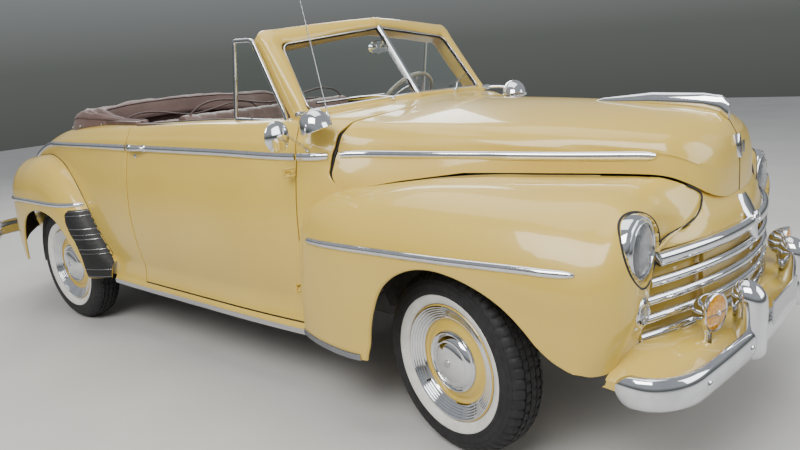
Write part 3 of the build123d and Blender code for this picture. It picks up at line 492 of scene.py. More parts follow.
# ---- the body's skin -------------------------------------------------------
BODY = (
    (-2345.0, 380, 470, 410, 476, 440, 486, 520, 470, 570, 360, 620),
    (-2230.0, 340, 560, 420, 580, 500, 590, 720, 560, 790, 430, 842),
    (-1960.0, 318, 640, 440, 668, 560, 690, 915, 650, 985, 520, 1040),
    (-1600.0, 318, 700, 450, 732, 580, 752, 1020, 724, 1105, 630, 1160),
    (-1150.0, 318, 735, 460, 774, 600, 800, 1062, 770, 1168, 712, 1222),
    (-850.0, 318, 806, 440, 784, 600, 812, 1069, 778, 1180, 732, 1231),
    (-480.0, 318, 814, 440, 788, 600, 820, 1074, 784, 1188, 748, 1238),
    (250.0, 318, 814, 450, 789, 600, 820, 1083, 782, 1212, 746, 1256),
    (812.0, 318, 800, 462, 764, 620, 788, 1088, 757, 1222, 716, 1258),
    (1060.0, 318, 640, 470, 674, 940, 690, 1087, 626, 1196, 560, 1240),
)
HOOD = (
    (812.0, 800, 776, 870, 775, 940, 772, 1088, 757, 1222, 716, 1258),
    (1060.0, 800, 706, 870, 699, 940, 690, 1087, 626, 1196, 560, 1240),
    (1400.0, 800, 590, 875, 585, 950, 578, 1088, 531, 1182, 468, 1235),
    (1800.0, 800, 470, 875, 468, 950, 464, 1088, 445, 1168, 380, 1221),
    (2124.0, 800, 396, 875, 395, 950, 392, 1082, 372, 1148, 312, 1200),
    (2230.0, 800, 390, 875, 389, 950, 386, 1076, 366, 1140, 306, 1190),
)
HOOD_SEAM = ((780, 936), (1042, 938), (1242, 972), (1494, 1003), (2130, 1003), (2234, 985), (2292, 925), (2400, 880))
NJ = 281


def ring(zb, wb, zn, wn, zm, wm, zs, ws, zt, wt, zc):
    low, neck, top = arr((wb, zb)), arr((wn, zn)), (wt, zt)
    t = np.linspace(0, 1, 13)[:, None]
    flare = (1 - t) ** 2 * low + 2 * t * (1 - t) * arr((wn - 2, zb + 45)) + t**2 * neck
    over = ((ws + wt) / 2 + 9, (zs + zt) / 2 + 9)
    p = np.concatenate([flare, arc3((wn, zn), (wm, zm), (ws, zs), 30)[1:], arc3((ws, zs), over, top, 20)[1:],
                        arc3(top, (0, zc), (-wt, zt), 80)[1:41]])
    p = even(p, NJ)
    q = blurred(p, 2.2)
    q[0], q[-1] = p[0], p[-1]
    # the belt stands out a little from the side
    band = np.clip((q[:, 1] - (zs - 8)) / 9, 0, 1) * np.clip(((zs + 66) - q[:, 1]) / 9, 0, 1)
    q[:, 0] += 5.0 * np.where(q[:, 0] > 0.5 * wt, band, 0)
    return q


class Skin:
    def __init__(self, rows):
        self.xs = [r[0] for r in rows]
        self.rings = np.stack([ring(*r[1:]) for r in rows])

    def at(self, x):
        return pchip(self.xs, self.rings, np.atleast_1d(x))

    def point(self, x, j):
        x, j = np.broadcast_arrays(arr(x), arr(j))
        r = self.at(x.ravel())
        k = np.clip(j.ravel(), 0, NJ - 1)
        i = np.minimum(k.astype(int), NJ - 2)
        t = (k - i)[:, None]
        a = np.arange(len(i))
        yz = r[a, i] * (1 - t) + r[a, i + 1] * t
        return np.concatenate([x.ravel()[:, None], yz], 1).reshape(x.shape + (3,))

    def j_at_z(self, x, z):
        r = self.at(x)
        z = np.broadcast_to(arr(z), (len(r),))
        return arr([np.interp(zz, np.maximum.accumulate(q[:, 1]), np.arange(NJ)) for q, zz in zip(r, z)])

    def j_at_y(self, x, y):
        r = self.at(x)
        y = np.broadcast_to(arr(y), (len(r),))
        out = []
        for q, yy in zip(r, y):
            k = NJ // 3
            out.append(np.interp(-yy, np.maximum.accumulate(-q[k:, 0]), np.arange(k, NJ)))
        return arr(out)

    def y_at(self, x, z):
        x = np.atleast_1d(arr(x))
        j = self.j_at_z(x, z)
        return self.point(x, j)[:, 1]

    def z_on_top(self, x, y):
        x = np.atleast_1d(arr(x))
        return self.point(x, self.j_at_y(x, np.abs(y)))[:, 2]


side_skin, hood_skin = Skin(BODY), Skin(HOOD)
BELT_X = [r[0] for r in BODY]
BELT_Z = [r[7] for r in BODY]


def step(t):
    t = np.clip(t, 0, 1)
    return t * t * (3 - 2 * t)


def mirrored(grid, axis=1):
    """The grid and its mirror image in one, sharing the column on the centre plane."""
    other = flip_y(grid, -1)
    other = np.flip(other, axis)
    rest = other[:, 1:] if axis == 1 else other[1:]
    return np.concatenate([grid, rest], axis)


# hood: along the skin from its bowed rear edge, then round the nose
BOW = 2726.7
NOSE_Z = (888, 947, 995, 1056, 1102, 1142, 1177, 1192, 1200)
NOSE_X = (2330, 2330, 2329, 2322, 2313, 2291, 2256, 2200, 2124)
HB, HN = 64, 46


def bowed(y, z, gap=0.0):
    x = 1056 - (BOW - np.sqrt(BOW**2 - y**2)) - gap
    return x + 60 * np.clip(1 - (z - 936) / 74, 0, 1) ** 2


b = np.linspace(0, 1, HB + 1) ** 1.12
seam_x = np.linspace(960, 2124, 60)
seam_j = hood_skin.j_at_z(seam_x, np.interp(seam_x, *zip(*HOOD_SEAM)) + 4)


def hood_j(x, bb):
    js = np.interp(x, seam_x, seam_j)
    return js + bb * (NJ - 1 - js)


x_rear = np.full(len(b), 1000.0)
for _ in range(8):
    q = hood_skin.point(x_rear, hood_j(x_rear, b))
    x_rear = bowed(q[:, 1], q[:, 2])
cols = []
A = hood_skin.point(np.full(len(b), 2124.0), hood_j(np.full(len(b), 2124.0), b))
B0 = hood_skin.point(np.full(len(b), 2114.0), hood_j(np.full(len(b), 2114.0), b))
slope = (A - B0) / 10
for k, bb in enumerate(b):
    xs = np.linspace(x_rear[k], 2124, 70)[:-1]
    on = hood_skin.point(xs, hood_j(xs, np.full(len(xs), bb)))
    zB = A[k, 2] - 115 * (1 - bb) ** 1.1 if bb < 1 else 1200.0
    xB = np.interp(zB, NOSE_Z, NOSE_X)
    p = 3.1 - 0.8 * bb
    u = np.linspace(0, 1, HN)
    phi = 0.5 * math.pi * step(u)
    s, c = np.sin(phi) ** (2 / p), np.cos(phi) ** (2 / p)
    x = 2124 + (xB - 2124) * s
    y = (A[k, 1] + slope[k, 1] * (x - 2124)) * c
    z = A[k, 2] + slope[k, 2] * (x - 2124) * c + (zB - A[k, 2]) * np.sin(phi) ** 2
    cols.append(np.concatenate([on, np.stack([x, np.maximum(y, 0), z], 1)]))
hood_half = np.stack(cols, 1)
hood_half[:, -1, 1] = 0
hood_half[-1, :, 1] = 0
hood_edge = hood_half[:, 0].copy()
hood = sheet_of("hood_skin", mirrored(hood_half), PAINT, "hood", ref=(1500, 0, 600), t=14, edge=2.5, weld=True)

# cowl
cj0 = float(side_skin.j_at_z([812.0], SILL := 346.0)[0])
cj = np.linspace(cj0, NJ - 1, 150)
edge_yz = side_skin.point(np.full(len(cj), 815.0), cj)
x0 = 818 - 163 * step((668 - edge_yz[:, 1]) / 36) - 40 * np.clip((640 - edge_yz[:, 2]) / 288, 0, 1)
hood_w, hood_x = hood_half[0, :, 2] - hood_half[0, :, 1], hood_half[0, :, 0]
low_corner = hood_half[0, 0, 2]
x1 = np.full(len(cj), 1030.0)
for _ in range(10):
    q = side_skin.point(x1, cj)
    x1 = np.where(q[:, 2] < low_corner - 4, 1044.0, np.interp(q[:, 2] - q[:, 1], hood_w, hood_x) - 5.0)
    x1 = np.minimum(x1, 1056)
cowl_half = np.stack([side_skin.point(x0 + u * (x1 - x0), cj) for u in np.linspace(0, 1, 30)])
cowl_half[:, -1, 1] = 0
cowl = sheet_of("cowl_skin", mirrored(cowl_half), PAINT, ref=(900, 0, 700), t=12, edge=2.0)
# a drip channel under the hood's rear edge closes the shut line
lip = np.stack([side_skin.point(x1 + d, cj) for d in (-5.0, 3.5)])
lip = lip[:, np.where(edge_yz[:, 2] > 936)[0]]
lip[..., 2] -= 10
lip[..., 1] -= 12 * (lip[..., 1] > 1)
lip[:, -1, 1] = 0
sheet_of("hood_lacing", mirrored(lip), TRIM_RUBBER, ref=(900, 0, 700), t=4, edge=None)
# the hood's two halves meet in a fine seam down the nose
nose = hood_half[-1][hood_half[-1, :, 2] < 1152] + arr((0.4, 0, 0))
swept("hood_centre_seam", smooth_line(nose, 60), circle_profile(1.6, 8), TRIM_RUBBER, "hood", up=(0, 1, 0))

# doors
dx_front = lambda z: 812 - 40 * np.clip((640 - z) / 288, 0, 1)
dj0 = float(side_skin.j_at_z([200.0], 353.0)[0])
dj1 = float(side_skin.j_at_y([200.0], 664.0)[0])
dj = np.concatenate([np.linspace(dj0, dj0 + 20, 16)[:-1], np.linspace(dj0 + 20, dj1, 90)])
ref_z = side_skin.point(np.full(len(dj), 700.0), dj)[:, 2]
grid = []
for u in np.concatenate([[0, .004, .01], np.linspace(.02, .98, 64), [.99, .996, 1]]):
    x = -480 + u * (dx_front(ref_z) + 480)
    lo, hi = side_skin.j_at_z(x, 353.0), side_skin.j_at_y(x, 664.0)
    t = (dj - dj0) / (dj1 - dj0)
    grid.append(side_skin.point(x, lo + t * (hi - lo)))
door_half = np.stack(grid)
for side, name in ((1, "door_left"), (-1, "door_right")):
    sheet_of(name + "_skin", flip_y(door_half, side), PAINT, name, ref=(150, 0, 800), t=16, edge=2.2)

# rear quarter and deck
TOP_Y = ((-2500, 386), (-2060, 476), (-1576, 506), (-1570, 506), (-1190, 560), (-1080, 610), (-520, 664), (-486, 664))
rx = np.concatenate([np.linspace(-486, -500, 4)[:-1], np.linspace(-500, -1070, 30), np.linspace(-1080, -1184, 8), np.linspace(-1190, -1570, 22),
                     np.linspace(-1576, -2240, 42), np.linspace(-2250, -2345, 12)])
ty = np.interp(rx, *zip(*TOP_Y))
dxw = np.abs(rx + 1297)
zlow = np.where(dxw < 388, 350 + np.sqrt(np.maximum(388**2 - dxw**2, 0)), 346.0)
zlow = np.maximum(zlow, 346)
zlow = np.where(rx < -2230, np.interp(rx, (-2345, -2230), (384, 346)), zlow)
lo, hi = side_skin.j_at_z(rx, zlow), side_skin.j_at_y(rx, ty)
tt = np.linspace(0, 1, 96)
side_half = side_skin.point(rx[:, None] * np.ones(len(tt)), lo[:, None] + tt * (hi - lo)[:, None])
quarters = []
for side in (1, -1):
    g = flip_y(side_half, side)
    quarters.append((g.reshape(-1, 3), facing(g, quads(*g.shape[:2]), (-1300, 0, 600))))
dsel = (rx <= -1190) & (rx >= -1570)
dt = np.linspace(0, 1, 30)
deck_half = side_skin.point(rx[dsel][:, None] * np.ones(len(dt)), hi[dsel][:, None] + dt * (NJ - 1 - hi[dsel])[:, None])
deck_half[:, -1, 1] = 0
deck = mirrored(deck_half)
quarters.append((deck.reshape(-1, 3), facing(deck, quads(*deck.shape[:2]), (-1300, 0, 600))))


def tail_x(y):
    return -2345 - 30 * (1 - np.minimum(1, np.abs(y) / 470.0) ** 2)


tail_ring = side_skin.at([-2345.0])[0]
yy = np.concatenate([-470 * np.sin(np.linspace(math.pi / 2, 0, 30)), 470 * np.sin(np.linspace(0, math.pi / 2, 30))[1:]])
order = np.argsort(tail_ring[:, 0][NJ // 3:])
ring_top = np.interp(np.abs(yy), tail_ring[NJ // 3:, 0][order], tail_ring[NJ // 3:, 1][order])
pan = []
for t in np.linspace(0, 1, 14):
    z = 384 + t * (np.minimum(593, ring_top) - 384)
    x = tail_x(yy) + 18 * (1 - np.minimum(1, t * 5)) ** 2
    pan.append(np.stack([x, yy, z], 1))
pan = np.stack(pan)
quarters.append((pan.reshape(-1, 3), facing(pan, quads(*pan.shape[:2]), ("d", (-1, 0, 0)))))
v, f = mesh_of(quarters)
rear_skin = make("rear_body_skin", v, f, PAINT)
welded(rear_skin, 0.0012)
thick(rear_skin, 12, 2.0)

# trunk lid
lx = np.concatenate([np.linspace(-1577, -1600, 4)[:-1], np.linspace(-1600, -2240, 44), np.linspace(-2252, -2345, 12)])
ly = np.interp(lx, [-2500, -2060, -1576], [380, 470, 500])
lj = side_skin.j_at_y(lx, ly)
lt = np.linspace(0, 1, 40)
lid_half = side_skin.point(lx[:, None] * np.ones(len(lt)), lj[:, None] + lt * (NJ - 1 - lj)[:, None])
last = lid_half[-1].copy()
tail_rows = []
for t in (0.35, 0.7, 1.0):
    r = last.copy()
    r[:, 0] = -2345 + (tail_x(r[:, 1]) + 2345) * math.sin(t * math.pi / 2)
    r[:, 2] = r[:, 2] + (602 - r[:, 2]) * (1 - math.cos(t * math.pi / 2))
    tail_rows.append(r)
lid_half = np.concatenate([lid_half, np.stack(tail_rows)])
lid_half[:, -1, 1] = 0
lid_half[:, 0, 2] -= 0.5
sheet_of("trunk_lid_skin", mirrored(lid_half), PAINT, "trunk_lid", ref=(-1800, 0, 300), t=14, edge=2.2)

# ---- front fenders ---------------------------------------------------------
FRONT_ARCH = ((1262, 300), (1272, 345), (1295, 415), (1305, 471), (1330, 554), (1379, 647), (1442, 702), (1527, 740), (1616, 752),
              (1698, 743), (1776, 721), (1851, 686), (1910, 645), (1959, 598), (2008, 544), (2059, 503), (2110, 480))
REAR_ARCH = ((-1750, 300), (-1745, 380), (-1722, 450), (-1680, 545), (-1610, 630), (-1520, 680), (-1400, 704), (-1290, 698),
             (-1180, 660), (-1113, 600), (-1056, 530), (-1002, 452), (-955, 352), (-934, 300))
FRONT_ROWS = (   # parameter, then inner top edge, two crest points, shoulder, outer skin, belly and lip as x, y, z
    (819, ((819, 797, 420), (819, 801, 410), (819, 804, 400), (819, 807, 385), (819, 809, 370), (819, 811, 355), (819, 813, 342))),
    (829, ((829, 787, 575), (829, 797, 570), (829, 806, 550), (829, 812, 515), (829, 817, 470), (829, 823, 400), (829, 828, 341))),
    (853, ((853, 782, 760), (853, 800, 752), (853, 818, 728), (853, 834, 675), (853, 845, 560), (853, 848, 440), (853, 847, 340))),
    (893, ((893, 764, 855), (893, 792, 856), (893, 824, 838), (893, 850, 775), (893, 868, 640), (893, 871, 480), (893, 863, 337))),
    (960, ((960, 705, 906), (960, 765, 915), (960, 815, 900), (960, 862, 850), (960, 891, 700), (960, 893, 520), (960, 882, 332))),
    (1050, ((1050, 664, 932), (1050, 730, 950), (1050, 800, 938), (1050, 868, 890), (1050, 908, 760), (1050, 911, 560), (1050, 902, 331))),
    (1170, ((1170, 656, 960), (1170, 720, 968), (1170, 790, 962), (1170, 872, 912), (1170, 921, 785), (1170, 925, 600), (1170, 916, 330))),
    (1380, ((1380, 596, 990), (1380, 680, 994), (1380, 775, 984), (1380, 870, 926), (1380, 929, 800), (1380, 930, 620), (1380, 923, 352))),
    (1599, ((1599, 512, 1003), (1599, 630, 1004), (1599, 750, 996), (1599, 862, 930), (1599, 930, 810), (1599, 930, 640), (1599, 926, 392))),
    (1790, ((1790, 468, 1003), (1790, 598, 1006), (1790, 732, 995), (1790, 858, 926), (1790, 927, 795), (1790, 926, 640), (1790, 919, 414))),
    (1960, ((1960, 430, 1003), (1960, 570, 1005), (1960, 712, 987), (1960, 846, 915), (1960, 916, 770), (1960, 915, 640), (1960, 908, 440))),
    (2060, ((2060, 408, 1003), (2060, 555, 1001), (2060, 700, 976), (2060, 832, 898), (2060, 903, 760), (2060, 903, 620), (2060, 898, 470))),
    (2140, ((2130, 394, 1003), (2134, 532, 992), (2140, 682, 962), (2150, 805, 878), (2160, 872, 750), (2158, 874, 605), (2128, 884, 474))),
    (2208, ((2200, 372, 993), (2194, 474, 968), (2196, 640, 950), (2214, 756, 891), (2228, 813, 775), (2226, 821, 620), (2165, 852, 464))),
    (2262, ((2258, 336, 965), (2238, 432, 930), (2232, 590, 925), (2242, 691, 881), (2254, 743, 780), (2250, 765, 630), (2196, 806, 466))),
    (2318, ((2292, 300, 921), (2275, 382, 880), (2250, 520, 868), (2250, 610, 850), (2252, 672, 775), (2252, 705, 640), (2209, 760, 486))),
    (2358, ((2284, 350, 858), (2274, 430, 843), (2250, 530, 826), (2250, 590, 795), (2249, 628, 745), (2248, 668, 640), (2218, 715, 498))),
    (2398, ((2246, 552, 820), (2246, 566, 800), (2246, 578, 775), (2246, 598, 740), (2246, 620, 690), (2244, 645, 610), (2224, 690, 506))),
    (2425, ((2232, 592, 738), (2232, 594, 730), (2232, 598, 718), (2232, 604, 700), (2232, 612, 660), (2231, 624, 590), (2226, 650, 522))),
)
FV = 72
COLUMN = arr([0, .155, .32, .49, .66, .82, 1.0])
f_knots = [r[0] for r in FRONT_ROWS]
f_lattice = arr([r[1] for r in FRONT_ROWS])
for k, row in enumerate(f_lattice):
    if 1050 <= row[0, 0] <= 2140:
        j = hood_skin.j_at_z([row[0, 0]], float(np.interp(row[0, 0], *zip(*HOOD_SEAM))) - 5)
        f_lattice[k, 0, 1:] = hood_skin.point(row[:1, 0], j)[0, 1:]
        f_lattice[k, 0, 1] -= 4
fine_cols = hermite(COLUMN, f_lattice.transpose(1, 0, 2), np.linspace(0, 1, 181)).transpose(1, 0, 2)


def fender_lines(knots, cols, u):
    return hermite(knots, cols, u)


def resampled_rows(rows, z_cut, n, start=0.0):
    """Each row kept from its start down to z_cut (one value per row), evenly spaced along its length."""
    out = []
    for r, zc in zip(rows, z_cut):
        low = np.minimum.accumulate(r[:, 2])
        i = np.argmax(low <= zc) if (low <= zc).any() else len(r) - 1
        if i > 0 and low[i] <= zc:
            t = (r[i - 1, 2] - zc) / max(r[i - 1, 2] - r[i, 2], 1e-6)
            r = np.concatenate([r[:i], (r[i - 1] + min(max(t, 0), 1) * (r[i] - r[i - 1]))[None]])
        out.append(even(r, n))
    return np.stack(out)


LAMP_X = 2212.0
SEATS_IN_SKIN = ((665, 825, 103, 2140), (690, 634, 42, 2196))


def pocketed(g):
    """Points inside a lamp's seat go back behind it, and those near its rim move out to it."""
    g = g.copy()
    for y, z, r, deep in SEATS_IN_SKIN:
        s = np.where(g[..., 1] < 0, -1.0, 1.0)
        dy, dz = np.abs(g[..., 1]) - y, g[..., 2] - z
        d = np.hypot(dy, dz)
        near = (g[..., 0] > deep) & (d < r)
        k = np.where(d > r * .7, r / np.maximum(d, 1), 1.0)
        g[..., 1] = np.where(near, s * (y + dy * k), g[..., 1])
        g[..., 2] = np.where(near, z + dz * k, g[..., 2])
        g[..., 0] = np.where(near, deep, g[..., 0])
    return g


arch = smooth_line(FRONT_ARCH, 64)
arch = arch[arch[:, 1] > 332]
arch_x = arch[:, 0]
arch_x = np.maximum.accumulate(arch_x + np.arange(len(arch_x)) * 1e-3)
us = np.concatenate([[819, 821, 824, 828, 833, 839], np.linspace(846, 960, 16), np.linspace(972, arch_x[0] - 12, 26), arch_x,
                     np.linspace(2122, 2425, 50)])
rows = fender_lines(f_knots, fine_cols, us)
z_arch = np.interp(us, arch_x, arch[:, 1], left=-1e3, right=-1e3)
front_plain = resampled_rows(rows, z_arch, FV + 1)
front_half = pocketed(front_plain)
arch_in = (us >= arch_x[0]) & (us <= arch_x[-1])
for side, name in ((1, "left"), (-1, "right")):
    g = flip_y(front_half, side)
    ob = sheet_of("front_fender_%s_skin" % name, g, PAINT, ref=(1600, side * 500, 500), t=7, edge=1.6, segments=2)
    # rolled flange round the wheel opening
    edge = g[arch_in, -1].copy()
    edge[:, 1] -= side * 7
    edge = smooth_line(edge, 90)
    swept("front_arch_flange_" + name, edge, circle_profile(6, 10), PAINT, up=(0, 1, 0))
    # rubber ring where the lamp sits on the skin
    near = front_plain[front_plain[..., 0] > 2150]
    a = np.linspace(0, 2 * math.pi, 61)[:-1]
    lamp_ring = []
    for ang in a:
        yz = arr((665 + 115.5 * math.cos(ang), 825 + 115.5 * math.sin(ang)))
        d = np.hypot(near[:, 1] - yz[0], near[:, 2] - yz[1])
        w = 1 / (d + 2) ** 4
        lamp_ring.append(((near[:, 0] * w).sum() / w.sum() - 1.0, side * yz[0], yz[1]))
    lamp_ring = arr(lamp_ring)
    lamp_ring[:, 0] = blurred(np.tile(lamp_ring[:, :1], (3, 1)), 2.0)[60:120, 0]
    v, f = sweep(lamp_ring, circle_profile(4.2, 10), up=(1, 0, 0), closed=True)
    tidy(make("headlamp_gasket_" + name, v, f, TRIM_RUBBER))


def inset(grid, d, ref):
    """A grid moved inward by d, along its own normals."""
    n = np.cross(np.gradient(grid, axis=0), np.gradient(grid, axis=1))
    n /= np.maximum(np.linalg.norm(n, axis=-1), 1e-6)[..., None]
    if np.sum(n * (grid - arr(ref))) < 0:
        n = -n
    return grid - n * d


# ---- rear fenders -----------------------------------------------------------
REAR_ROWS = (    # from the door side to the tail; the same seven points a row
    (-793, ((787, 424), (797, 422), (806, 414), (816, 400), (823, 382), (829, 360), (833, 336))),
    (-835, ((788, 503), (806, 499), (826, 482), (842, 455), (851, 425), (857, 385), (858, 335))),
    (-880, ((789, 577), (813, 572), (840, 550), (861, 505), (873, 460), (879, 400), (880, 333))),
    (-985, ((792, 754), (824, 746), (862, 712), (891, 652), (905, 590), (909, 460), (906, 331))),
    (-1165, ((786, 932), (826, 923), (876, 886), (912, 812), (928, 720), (927, 520), (920, 335))),
    (-1375, ((776, 1006), (824, 996), (878, 956), (916, 880), (931, 765), (931, 540), (926, 345))),
    (-1600, ((752, 1003), (806, 991), (868, 946), (910, 868), (926, 755), (922, 540), (916, 352))),
    (-1800, ((714, 962), (772, 948), (836, 903), (878, 830), (893, 735), (893, 530), (884, 345))),
    (-1880, ((690, 907), (742, 892), (802, 850), (842, 785), (858, 705), (866, 520), (858, 385))),
    (-1940, ((671, 840), (712, 828), (762, 795), (798, 742), (815, 680), (824, 530), (815, 430))),
    (-1978, ((658, 774), (688, 766), (725, 742), (752, 706), (765, 660), (770, 540), (756, 468))),
    (-1998, ((650, 716), (665, 711), (684, 698), (700, 676), (708, 640), (706, 560), (690, 500))),
)
r_knots = [-r[0] for r in REAR_ROWS]
r_lattice = arr([[(x, y, z) for y, z in pts] for x, pts in REAR_ROWS])
for row in r_lattice:
    row[0, 1] = side_skin.y_at([row[0, 0]], row[0, 2])[0] - 3
    row[1, 1] = max(row[1, 1], row[0, 1] + 8)
r_fine = hermite(COLUMN, r_lattice.transpose(1, 0, 2), np.linspace(0, 1, 161)).transpose(1, 0, 2)
rarch = smooth_line(REAR_ARCH, 60)
rarch = rarch[rarch[:, 1] > 336]
ra_x = -rarch[:, 0][::-1]
ra_z = rarch[:, 1][::-1]
ra_x = np.maximum.accumulate(ra_x + np.arange(len(ra_x)) * 1e-3)
us = np.concatenate([np.linspace(793, ra_x[0] - 4, 16), ra_x, np.linspace(ra_x[-1] + 6, 1998, 34)])
rows = hermite(r_knots, r_fine, us)
rear_half = resampled_rows(rows, np.interp(us, ra_x, ra_z, left=-1e3, right=-1e3), 61)
r_in = (us >= ra_x[0]) & (us <= ra_x[-1])
for side, name in ((1, "left"), (-1, "right")):
    g = flip_y(rear_half, side)
    sheet_of("rear_fender_%s_skin" % name, g, PAINT, ref=(-1300, side * 500, 500), t=7, edge=1.6, segments=2)
    edge = g[r_in, -1].copy()
    edge[:, 1] -= side * 7
    swept("rear_arch_flange_" + name, smooth_line(edge, 90), circle_profile(6, 10), PAINT, up=(0, 1, 0))
    # dark welting in the seam between fender and body
    seam = g[:, 0].copy()
    seam[:, 1] += side * 2
    swept("rear_fender_welt_" + name, smooth_line(seam[2:-2], 120), circle_profile(3.2, 8), TRIM_RUBBER, up=(0, 1, 0))
    seam = flip_y(front_half, side)[6:-58, 0]
    swept("front_fender_welt_" + name, smooth_line(seam, 120), circle_profile(2.6, 8), PAINT_IN, up=(0, 1, 0.3))
    inner = front_half[:, 0]
    inner = flip_y(inner[(inner[:, 0] > 2200) & (inner[:, 2] < 968) & (inner[:, 2] > 770)] + arr((4, 0, 1)), side)
    swept("nose_seam_" + name, smooth_line(inner, 80), circle_profile(3.4, 8), TRIM_RUBBER, up=(1, 0, 0))
    # dark underseal coat just inside the rear fender: real underseal, and also painted shade, so the inside of the
    # wheel opening reads dark instead of lit yellow paint
    liner = inset(flip_y(rear_half, side), 10.0, (-1300, side * 500, 500))
    sheet_of("rear_fender_liner_" + name, liner, UNDER, ref=(-1300, side * 500, 500), t=2, edge=None)
    # stone guard: a ribbed black shield on the fender's leading face, with thin bright lines
    u0 = np.linspace(1, 0, 30)
    v_in = []
    zz = np.linspace(724, 336, 48)
    rr_grid = hermite(r_knots, r_fine, np.linspace(793, 1165, 140))
    guard = []
    for z in zz:
        hit = []
        for r in rr_grid:
            low = np.minimum.accumulate(r[:, 2])
            if low[0] < z or low[-1] > z:
                continue
            i = int(np.argmax(low <= z))
            if i == 0:
                continue
            t = (r[i - 1, 2] - z) / max(r[i - 1, 2] - r[i, 2], 1e-6)
            hit.append(r[i - 1] + t * (r[i] - r[i - 1]))
        hit = arr(hit)
        limit = float(np.interp(z, (325, 374, 454, 542, 590, 654, 700, 724), (936, 950, 966, 1000, 1034, 1062, 1064, 1046)))
        hit = hit[-hit[:, 0] < limit]
        if len(hit) > 3:
            guard.append(even(hit, 16))
    guard = flip_y(arr(guard), side)
    n_out = arr((0.35, side * 0.92, 0.15))
    ribs = 1.1 * np.abs(np.sin(np.linspace(0, math.pi * 15, len(guard))))[:, None]
    raised = guard + (3.5 + ribs)[..., None] * n_out
    sheet_of("stone_guard_" + name, raised, TRIM_RUBBER, ref=(-1300, side * 500, 500), t=5, edge=1.5)
    for i, share in enumerate((0.03, 0.10, 0.28, 0.36, 0.42, 0.58, 0.64, 0.86, 0.97)):
        row = min(len(guard) - 1, int(share * len(guard)))
        line = smooth_line(guard[row] + 4.8 * n_out, 24)
        swept("stone_guard_%s_line_%d" % (name, i), line[:-1], circle_profile(1.3 if i in (2, 4, 5, 7, 8) else 0.8, 8), STAINLESS, up=(0, 0, 1))

# ---- belt strips, door handles, fender strips ------------------------------
STRIP = [(-3, -14), (1.5, -13.5), (5.2, -10.5), (8, -6), (9.2, -2), (9.2, 2), (8, 6), (5.2, 10.5), (1.5, 13.5), (-3, 14)]
WIDE_STRIP = [(-3, -17), (1.5, -16.5), (6, -13.5), (9.2, -8), (10.6, -2.5), (10.6, 2.5), (9.2, 8), (6, 13.5), (1.5, 16.5), (-3, 17)]
BELT_LINE = ((-1880, 948), (-1867, 954), (-1446, 1075), (-439, 1086), (253, 1086), (791, 1078), (953, 1078), (1311, 1072), (1704, 1068), (1983, 1066), (2200, 1068))


def outward(side, flip=False, strip=STRIP):
    """The strip's profile with its a axis pointing away from the car on that side, for a path that runs forward."""
    return [(a * side if not flip else -a * side, b) for a, b in strip]


def belt_path(x0, x1, skin, side, n=60, lift=1.5):
    xs = np.linspace(x0, x1, n)
    z = pchip([q[0] for q in BELT_LINE], [q[1] for q in BELT_LINE], xs)
    y = np.concatenate([skin.y_at([x], zz) for x, zz in zip(xs, z)])
    return np.stack([xs, side * (y + lift), z], 1)


